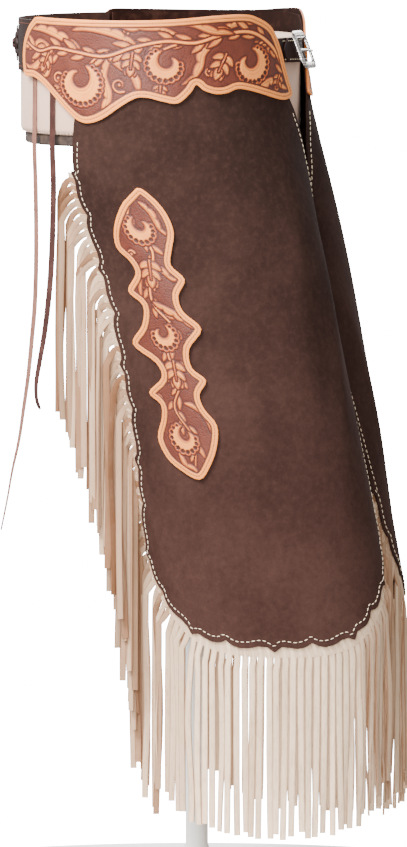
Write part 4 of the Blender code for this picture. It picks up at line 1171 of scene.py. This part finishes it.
def fringe(side, seed):
    """Every strand is a soft ribbon that leaves the strip, arches over and hangs, with its own small waves."""
    rng = np.random.default_rng(seed)
    plan = strand_plan(side)
    root, bend, forward, raised, out = (plan[key] for key in ("root", "bend", "forward", "raised", "out"))
    down = np.array([0.0, 0.0, -1.0])
    points, faces, shade_and_colour_shares, sides = [], [], [], []
    for i in range(len(bend)):
        along, face, crowd = plan["along"][i], plan["face"][i], plan["crowd"][i]
        turn = crowd * CROWD_TURN + rng.normal(0, 0.10 + 0.34 * crowd)
        wide_way = along * math.cos(turn) - face * math.sin(turn)
        hand = 1 if np.cross(forward[i], raised[i]) @ out[i] > 0 else -1
        thick_way = np.cross(down, wide_way) * hand
        if forward[i] @ wide_way + raised[i] @ thick_way < 0:
            wide_way, thick_way = -wide_way, -thick_way
        layer = (crowd * (i % 4 * 2.6 - 2.0) + (1 - crowd) * (i % 2 * 1.2 - 0.6)) * MM
        over = np.array([*plan["hang"][i], 0.0]) + face * layer
        over = over + along * rng.normal(0, 0.5 + 2.2 * crowd) * MM
        drop = DROOP * rng.uniform(0.85, 1.25)
        top = np.array([over[0], over[1], bend[i][2] - drop])
        length = STRAND_LENGTH * (SHORT_STRANDS if bend[i][2] < SHORT_BELOW else 1.0) * rng.uniform(0.945, 1.0)
        corner = bend[i] + out[i] * np.linalg.norm(top - bend[i]) * rng.uniform(0.3, 0.5)
        sway, phase = rng.normal(0, 1.3) * MM, rng.uniform(0, 6.28)
        drift, twist = rng.normal(0, 1.9) * MM, rng.normal(0, 0.3)
        curl = rng.uniform(0.35, 0.7) * MM
        rings = [(root[i], forward[i], raised[i], 1.0, 0.0)]
        for t in (0.0, 0.2, 0.4, 0.6, 0.8, 1.0):
            middle = bend[i] * (1 - t) ** 2 + corner * 2 * t * (1 - t) + top * t ** 2
            ahead = out[i] * (1 - t) + down * t
            ahead /= np.linalg.norm(ahead)
            across = forward[i] * (1 - t) + wide_way * t
            across = across - ahead * (across @ ahead)
            across /= np.linalg.norm(across)
            rings.append((middle, across, np.cross(ahead, across) * hand, 1.0, curl))
        hanging = length - drop
        for t in np.linspace(0, 1, 11)[1:]:
            wave = math.sin(phase + t * 5.5) - math.sin(phase)
            middle = top + down * hanging * t + face * (sway * wave) + along * drift * t * t
            angle = twist * t + 0.12 * wave
            across = wide_way * math.cos(angle) + thick_way * math.sin(angle)
            thick = thick_way * math.cos(angle) - wide_way * math.sin(angle)
            narrow = 0.93 if t == 1 else 1.0 - 0.05 * math.sin(phase * 3 + t * 9) ** 2
            rings.append((middle, across, thick, narrow, curl))
        start = len(points)
        for middle, across, thick, narrow, cupped in rings:
            wide = across * STRAND_WIDTH / 2 * narrow
            deep = thick * FRINGE_LEATHER / 2
            lift = thick * cupped
            # 1 at a strand's two sides and 0 at its middle: this places the painted shade along the sides.
            sides += [1, 0, 1, 1, 0, 1]
            points += [middle - wide + deep - lift, middle + deep, middle + wide + deep - lift,
                       middle + wide - deep - lift, middle - deep, middle - wide - deep - lift]
        for ring in range(len(rings) - 1):
            a, b = start + ring * 6, start + ring * 6 + 6
            faces += [(a + j, a + (j + 1) % 6, b + (j + 1) % 6, b + j) for j in range(6)]
        last = start + (len(rings) - 1) * 6
        faces += [tuple(range(start, start + 6))[::-1], tuple(range(last, last + 6))]
        if hand < 0:
            strand = len(faces) - (len(rings) - 1) * 6 - 2
            faces[strand:] = [face_points[::-1] for face_points in faces[strand:]]
        # Each strand's darkening: painted shade that grows with crowding, plus a random share, wider on crowded
        # strands, that is partly tone and partly painted shade.
        shade_and_colour_shares += [0.4 * crowd + rng.uniform(0, 1) * (0.12 + 0.48 * crowd)] * (len(rings) * 6)
    strip_points, strip_faces = fringe_strip(side)
    start = len(points)
    points += list(strip_points)
    faces += [tuple(start + i for i in strip_face) for strip_face in strip_faces]
    shade_and_colour_shares += [STRIP_TONE] * len(strip_points)
    sides += [0] * len(strip_points)
    piece = new_piece(f"{SIDE_NAMES[side]}_fringe_strands", points, faces, [FRINGE_FINISH])
    set_values(piece, "tone_and_shade", shade_and_colour_shares)
    set_values(piece, "side_shade", sides)
    finished(piece, "fringe_suede", [f"{SIDE_NAMES[side]}_fringe"])
    return piece


def fringe_strip(side):
    """The uncut strip that the strands are cut from, sewn under the suede."""
    distances = np.linspace(PLAIN_BEFORE_SCALLOPS + 4, EDGE.length - 4, 170)
    corners = []
    for inset, out in ((-STRIP_PAST_EDGE, 0), (-STRIP_PAST_EDGE, 1), (STRIP_INNER_INSET, 1),
                       (STRIP_INNER_INSET, 0)):
        line = beside_edge(distances, np.full(len(distances), -inset))
        depth = -SEAM_GAP - STRIP_BELOW_STRANDS - FRINGE_LEATHER * out
        corners.append(on_leg(side, line[:, 0] / GIRTH_PER_DEGREE, line[:, 1], depth))
    points = np.stack(corners, 1).reshape(-1, 3)
    faces = []
    for i in range(len(distances) - 1):
        a, b = i * 4, i * 4 + 4
        faces += [(a + j, b + j, b + (j + 1) % 4, a + (j + 1) % 4) for j in range(4)]
    last = (len(distances) - 1) * 4
    faces += [(0, 1, 2, 3), (last + 3, last + 2, last + 1, last)]
    if side == LEFT:
        faces = [face[::-1] for face in faces]
    return points, faces


# Small parts

def soft_ring(middle, wide, deep, steps=10, power=0.55):
    """A flat rounded cross-section."""
    ring = []
    for step in range(steps):
        turn = math.tau * step / steps
        c, s = math.cos(turn), math.sin(turn)
        ring.append(middle + wide * math.copysign(abs(c) ** power, c) + deep * math.copysign(abs(s) ** power, s))
    return ring


def lace(name, rows, material, slot):
    """A flat lace hanging from under the yoke, a little turned, with a cut tip."""
    line = curve_through([(RIGHT * out * MM, back * MM, height * MM) for out, back, height in rows], 5)
    out, back, _ = rows[0]
    outward = np.array([RIGHT * out / FORM_HALF_WIDTH ** 2, (back - FORM_BACK / MM) / FORM_HALF_DEPTH ** 2, 0.0])
    outward /= np.linalg.norm(outward)
    ahead = np.gradient(line, axis=0)
    rings = []
    for i, middle in enumerate(line):
        t = i / (len(line) - 1)
        forward = ahead[i] / np.linalg.norm(ahead[i])
        across = np.cross(forward, outward)
        across /= np.linalg.norm(across)
        thick = np.cross(across, forward)
        turn = 0.35 * math.sin(5 * t) * t
        wide = across * math.cos(turn) + thick * math.sin(turn)
        deep = thick * math.cos(turn) - across * math.sin(turn)
        narrow = 1 - 0.55 * max(0, (t - 0.96) / 0.04)
        rings.append(soft_ring(middle, wide * LACE_WIDTH / 2 * narrow, deep * LACE_THICKNESS / 2))
    piece = finished(swept(f"{name}_leather", rings, material), slot, [name])


def rosette(side):
    """A leather rosette with cut petals, a raised ring, and a lace tied through its two slits."""
    height = (BAND_LOW + BAND_HIGH) / 2
    seat = on_waist(side, ROSETTE_DEGREES, height, SUEDE + ROSETTE_GAP)
    normal = on_waist(side, ROSETTE_DEGREES, height, SUEDE + ROSETTE_GAP + MM) - seat
    normal /= np.linalg.norm(normal)
    up = np.array([0.0, 0.0, 1.0])
    level = np.cross(up, normal)
    level /= np.linalg.norm(level)
    count = ROSETTE_PETALS * 10
    turns = np.arange(count) * math.tau / count
    rings = []
    profile = (
        # share of the radius, out
        (0.02, 0.0), (1.0, 0.0), (1.0, 0.9), (0.97, 1.6), (0.86, 1.9), (0.74, 2.1), (0.64, 1.9),
        (0.58, 3.1), (0.5, 3.6), (0.42, 3.1), (0.36, 3.4), (0.2, 4.3), (0.02, 4.6),
    )
    for share, out in profile:
        petals = (math.e ** (-((1 - share) / 0.3) ** 2)) * 0.2
        radius = ROSETTE_RADIUS * share * (1 - petals * (1 - np.abs(np.cos(ROSETTE_PETALS * turns / 2))))
        cut = 0.5 * (share > 0.6) * (out > 1) * np.exp(-((np.cos(ROSETTE_PETALS * turns / 2)) / 0.22) ** 2)
        spoke = level * np.cos(turns)[:, None] + up * np.sin(turns)[:, None]
        rings.append(seat + spoke * radius[:, None] + normal * ((out - cut) * MM)[:, None])
    word = SIDE_NAMES[side]
    finished(swept(f"{word}_rosette_leather", rings, BAND_FINISH, sharp=60), "dark_leather", [f"{word}_rosette"])
    for number, lean in enumerate((-0.5, 0.45)):
        way = level * math.cos(lean) + up * math.sin(lean)
        across = np.cross(normal, way)
        places = []
        for t in np.linspace(-1, 1, 13):
            arch = 5.4 * MM * (1 - t * t) ** 0.5 if abs(t) < 1 else 0.0
            places.append(soft_ring(seat + way * t * 8 * MM + normal * (arch * 0.25 + (3.6 + number * 0.9) * MM),
                                    across * 2.3 * MM, normal * 0.6 * MM))
        finished(swept(f"{word}_rosette_tie_{number + 1}", places, INNER_LACE_FINISH))


def on_buckle(x, z, out):
    """A place on the buckle's leaning seat."""
    lean = math.atan2(STRAP_LEAN, (STRAP_HIGH - STRAP_LOW) * MM)
    straps = WAIST_CLEAR + 2 * SUEDE + STRAP_OVERLAP_GAP
    front = FORM_BACK - FORM_HALF_DEPTH - straps - STRAP_STEP - STRAP_LEAN / 2
    seat = front - BUCKLE_GAP / math.cos(lean)
    return np.array([
        x,
        seat - out * math.cos(lean) + z * math.sin(lean),
        (STRAP_HIGH + STRAP_LOW) / 2 * MM + z * math.cos(lean) - out * math.sin(lean),
    ])


def ring_outline(half_width, half_height, corner, count):
    points = []
    for x, z, start in ((1, 1, 0), (-1, 1, 90), (-1, -1, 180), (1, -1, 270)):
        for step in range(count):
            turn = math.radians(start + 90 * step / (count - 1))
            points.append((x * (half_width - corner) + corner * math.cos(turn),
                           z * (half_height - corner) + corner * math.sin(turn)))
    return np.array(points)


def spread_evenly(outline, count):
    line = Line(np.concatenate([outline, outline[:1]]))
    return line.at(np.arange(count) * line.length / count)


def buckle():
    """A square frame with round corners, a roped rim and an engraved face, and its tongue."""
    count = 168
    outer = spread_evenly(ring_outline(BUCKLE_WIDTH / 2, BUCKLE_HEIGHT / 2, 9 * MM, 9), count)
    inner = spread_evenly(ring_outline(BUCKLE_WIDTH / 2 - BUCKLE_BAR, BUCKLE_HEIGHT / 2 - BUCKLE_BAR, 3 * MM, 9), count)
    profile = (
        # share from the outer to the inner edge, out
        (0.0, 0.3), (0.0, 1.6), (0.04, 2.5), (0.14, 3.1), (0.24, 2.6), (0.3, 2.75), (0.5, 3.35),
        (0.72, 3.3), (0.8, 3.0), (0.88, 3.6), (0.97, 3.3), (1.0, 2.6), (1.0, 0.3),
    )
    loops = []
    for share, out in profile:
        rope = 0.32 * math.exp(-((share - 0.14) / 0.08) ** 2) + 0.22 * math.exp(-((share - 0.88) / 0.06) ** 2)
        loop = outer * (1 - share) + inner * share
        wave = rope * np.sin(np.arange(count) * math.tau * 42 / count + share * 20)
        loops.append([on_buckle(x, z, (out + w) * MM) for (x, z), w in zip(loop, wave)])
    frame_piece = swept("buckle_silver", loops, SILVER_FINISH, closed_way=True, sharp=50)
    finished(frame_piece, "silver", ["buckle_frame"])
    over_bar = BUCKLE_THICKNESS + BUCKLE_GAP + 0.9 * MM
    line = curve_through([
        (-BUCKLE_WIDTH / 2 + BUCKLE_BAR + 0.6 * MM, 1.4 * MM), (-6 * MM, 1.7 * MM), (4 * MM, 3.0 * MM),
        (BUCKLE_WIDTH / 2 - BUCKLE_BAR, over_bar), (BUCKLE_WIDTH / 2 - 1 * MM, over_bar - 0.2 * MM),
    ], 5)
    rings = []
    for i, (x, out) in enumerate(line):
        half = (1.7 - 0.5 * i / len(line)) * MM
        rings.append([on_buckle(x, half * math.cos(t), out + 0.85 * MM * math.sin(t))
                      for t in np.arange(10) * math.tau / 10])
    finished(swept("buckle_tongue_silver", rings, SILVER_FINISH), "silver", ["buckle_tongue"])


# The hip form and its stand

def oval_stack(name, rows, half_x, half_y, middle_y, material, sides=120):
    """A closed round or oval solid from rows of inset and height, with a sheet of cloth places on it."""
    turns = np.arange(sides) * math.tau / sides
    points, sheet = [], []
    along = 0.0
    for number, (inset, height) in enumerate(rows):
        if number:
            along += math.hypot(inset - rows[number - 1][0], height - rows[number - 1][1])
        points += [(max(half_x - inset, 0) * math.cos(t), middle_y + max(half_y - inset, 0) * math.sin(t), height)
                   for t in turns]
        sheet += [(t * (half_x + half_y) / 2, along) for t in turns]
    piece = new_piece(name, points, tube_faces(len(rows), sides), [material], sharp=35)
    layer = piece.data.uv_layers.new(name="UVMap")
    corners = np.array([sheet[loop.vertex_index] for loop in piece.data.loops], np.float32)
    layer.data.foreach_set("uv", corners.ravel())
    return piece


def hip_form():
    quarter = [math.radians(90 * step / 6) for step in range(7)]
    rows = [(FORM_ROUNDING * (1 - math.sin(t)), FORM_BOTTOM + FORM_ROUNDING * (1 - math.cos(t))) for t in quarter]
    rows += [(0.0, FORM_BOTTOM + (FORM_TOP - FORM_BOTTOM) * share) for share in (0.25, 0.5, 0.75)]
    rows += [(FORM_ROUNDING * (1 - math.cos(t)), FORM_TOP - FORM_ROUNDING * (1 - math.sin(t))) for t in quarter]
    body = oval_stack("hip_form_cloth", rows, FORM_HALF_WIDTH, FORM_HALF_DEPTH, FORM_BACK, FORM_FINISH)
    finished(body, "form_cloth", ["hip_form"])
    seam = np.arange(0, math.tau, 0.01)
    reach = 0.3 * MM
    points = np.stack([(FORM_HALF_WIDTH - FORM_ROUNDING * 0.3 + reach) * np.cos(seam),
                       FORM_BACK + (FORM_HALF_DEPTH - FORM_ROUNDING * 0.3 + reach) * np.sin(seam),
                       np.full(len(seam), FORM_BOTTOM + FORM_ROUNDING * 0.28)], -1)
    outward = np.stack([np.cos(seam), np.sin(seam), -0.8 + 0 * seam], -1)
    stitching("form_seam", [(points, outward / np.linalg.norm(outward, axis=1, keepdims=True))], CREAM_THREAD,
              spacing=5 * MM, length=3.6 * MM, thickness=0.6 * MM)
    top = FORM_BOTTOM - SEAM_GAP
    low = top - PLATE_HEIGHT
    rows = [(PLATE_INSET + 3 * MM, low), (PLATE_INSET + 1 * MM, low + 0.6 * MM), (PLATE_INSET, low + 2 * MM),
            (PLATE_INSET, top - 0.8 * MM), (PLATE_INSET + 0.8 * MM, top)]
    plate = oval_stack("form_plate_wood", rows, FORM_HALF_WIDTH, FORM_HALF_DEPTH, FORM_BACK, WOOD_FINISH)
    finished(plate, "form_base", ["form_plate"])


def stand():
    foot_rows = [(1.2 * MM, 0.0), (0.3 * MM, 0.6 * MM), (0.0, 1.6 * MM), (0.0, 5.6 * MM), (0.5 * MM, 7 * MM),
                 (1.6 * MM, 7.8 * MM), (3 * MM, FOOT_HEIGHT)]
    foot = oval_stack("stand_foot_paint", foot_rows, FOOT_RADIUS, FOOT_RADIUS, 0.0, PAINT_FINISH)
    finished(foot, "stand_paint", ["stand_foot"])
    collar, base = 22.8 * MM, FOOT_HEIGHT + SEAM_GAP
    pole_top = FORM_BOTTOM - PLATE_HEIGHT - 2 * SEAM_GAP
    rows = [(0.0, base), (0.0, base + 8.5 * MM), (0.6 * MM, base + 10 * MM), (6 * MM, base + 12 * MM),
            (9.6 * MM, base + 14.5 * MM), (collar - POLE_RADIUS, base + 18 * MM)]
    rows += [(collar - POLE_RADIUS, base + 18 * MM + (pole_top - base - 18 * MM) * share) for share in (0.33, 0.66, 1.0)]
    pole = oval_stack("stand_pole_paint", rows, collar, collar, 0.0, PAINT_FINISH, sides=48)
    finished(pole, "stand_paint", ["stand_pole"])


# The studio

FLOOR_RADIUS = 0.32
ROOM_LIGHT = 0.62
ROOM_SEEN = 24.0
LAMPS = (
    # degrees round from the front, degrees up, distance, size, power
    (-116, 46, 2.4, 1.0, 150),
    (-82, 14, 2.8, 1.4, 88),
    (90, 35, 3.0, 2.0, 95),
    (170, 45, 3.0, 2.0, 95),
)

def studio():
    """A small pale floor, an even white room that shows whiter than it lights, and four soft lamps."""
    turns = np.arange(96) * math.tau / 96
    rim = [(FLOOR_RADIUS * math.cos(t), FLOOR_RADIUS * math.sin(t), -0.001) for t in turns]
    floor = new_piece("floor", rim, [tuple(range(96))], [Finish("floor", linear(250, 250, 250), 0.9).material],
                      smooth=False)
    world = bpy.data.worlds.new("studio")
    world.use_nodes = True
    tree = world.node_tree
    lit = tree.nodes["Background"]
    lit.inputs["Color"].default_value = (1.0, 1.0, 1.0, 1.0)
    lit.inputs["Strength"].default_value = ROOM_LIGHT
    seen = tree.nodes.new("ShaderNodeBackground")
    seen.inputs["Color"].default_value = (1.0, 1.0, 1.0, 1.0)
    seen.inputs["Strength"].default_value = ROOM_SEEN
    rays = tree.nodes.new("ShaderNodeLightPath")
    mixed = tree.nodes.new("ShaderNodeMixShader")
    tree.links.new(rays.outputs["Is Camera Ray"], mixed.inputs[0])
    tree.links.new(lit.outputs[0], mixed.inputs[1])
    tree.links.new(seen.outputs[0], mixed.inputs[2])
    tree.links.new(mixed.outputs[0], tree.nodes["World Output"].inputs["Surface"])
    bpy.context.scene.world = world
    middle = Vector((0, 0, 0.5))
    for azimuth, elevation, distance, size, power in LAMPS:
        a, e = math.radians(azimuth), math.radians(elevation)
        way = Vector((math.sin(a) * math.cos(e), -math.cos(a) * math.cos(e), math.sin(e)))
        light = bpy.data.lights.new("softbox", "AREA")
        light.shape, light.size, light.energy = "DISK", size, power
        lamp = bpy.data.objects.new("softbox", light)
        lamp.location = middle + way * distance
        lamp.rotation_euler = way.to_track_quat("Z", "Y").to_euler()
        bpy.context.scene.collection.objects.link(lamp)


def camera():
    """A long lens from the wearer's right, a little above the middle."""
    azimuth, elevation = math.radians(-74), math.radians(3.5)
    across = Vector((math.cos(azimuth), math.sin(azimuth), 0))
    back = Vector((math.sin(azimuth) * math.cos(elevation), -math.cos(azimuth) * math.cos(elevation),
                   math.sin(elevation)))
    up = back.cross(across)
    aim = across * 0.0071 + up * 0.47435
    data = bpy.data.cameras.new("camera")
    distance, frame_height = 16.0, 0.9032
    data.lens = data.sensor_width * distance / frame_height
    data.clip_end = 400
    holder = bpy.data.objects.new("camera", data)
    holder.location = aim + back * distance
    holder.rotation_euler = back.to_track_quat("Z", "Y").to_euler()
    bpy.context.scene.collection.objects.link(holder)
    bpy.context.scene.camera = holder


camera()
studio()
for lace_name, lace_finish, lace_slot in (
    ("lace_outer", OUTER_LACE_FINISH, "lace_leather"),
    ("lace_inner", INNER_LACE_FINISH, "lace_dark"),
):
    lace(lace_name, LACES[lace_name], lace_finish, lace_slot)
for side in (RIGHT, LEFT):
    leg_panel(side)
    tooled_piece(side, "yoke", YOKE, yoke_carving, YOKE_BORDER, YOKE_STEP)
    tooled_piece(side, "overlay", OVERLAY, overlay_carving, OVERLAY_BORDER, OVERLAY_STEP)
    back_band(side)
    fringe(side, 5 + side)
    rosette(side)
front_strap(RIGHT, "strap_buckle_end", ((77.6, STRAP_LOW), (88.6, STRAP_LOW), (88.6, STRAP_HIGH),
                                        (72.6, STRAP_HIGH)), on_strap, 88.0)
front_strap(LEFT, "strap_tip_end", ((77.6, STRAP_LOW), (STRAP_TIP - 3, STRAP_LOW), (STRAP_TIP - 0.8, STRAP_LOW + 6),
                                    (STRAP_TIP, (STRAP_LOW + STRAP_HIGH) / 2), (STRAP_TIP - 0.8, STRAP_HIGH - 6),
                                    (STRAP_TIP - 3, STRAP_HIGH), (72.6, STRAP_HIGH)), on_strap_over, 99.0)
buckle()
hip_form()
stand()
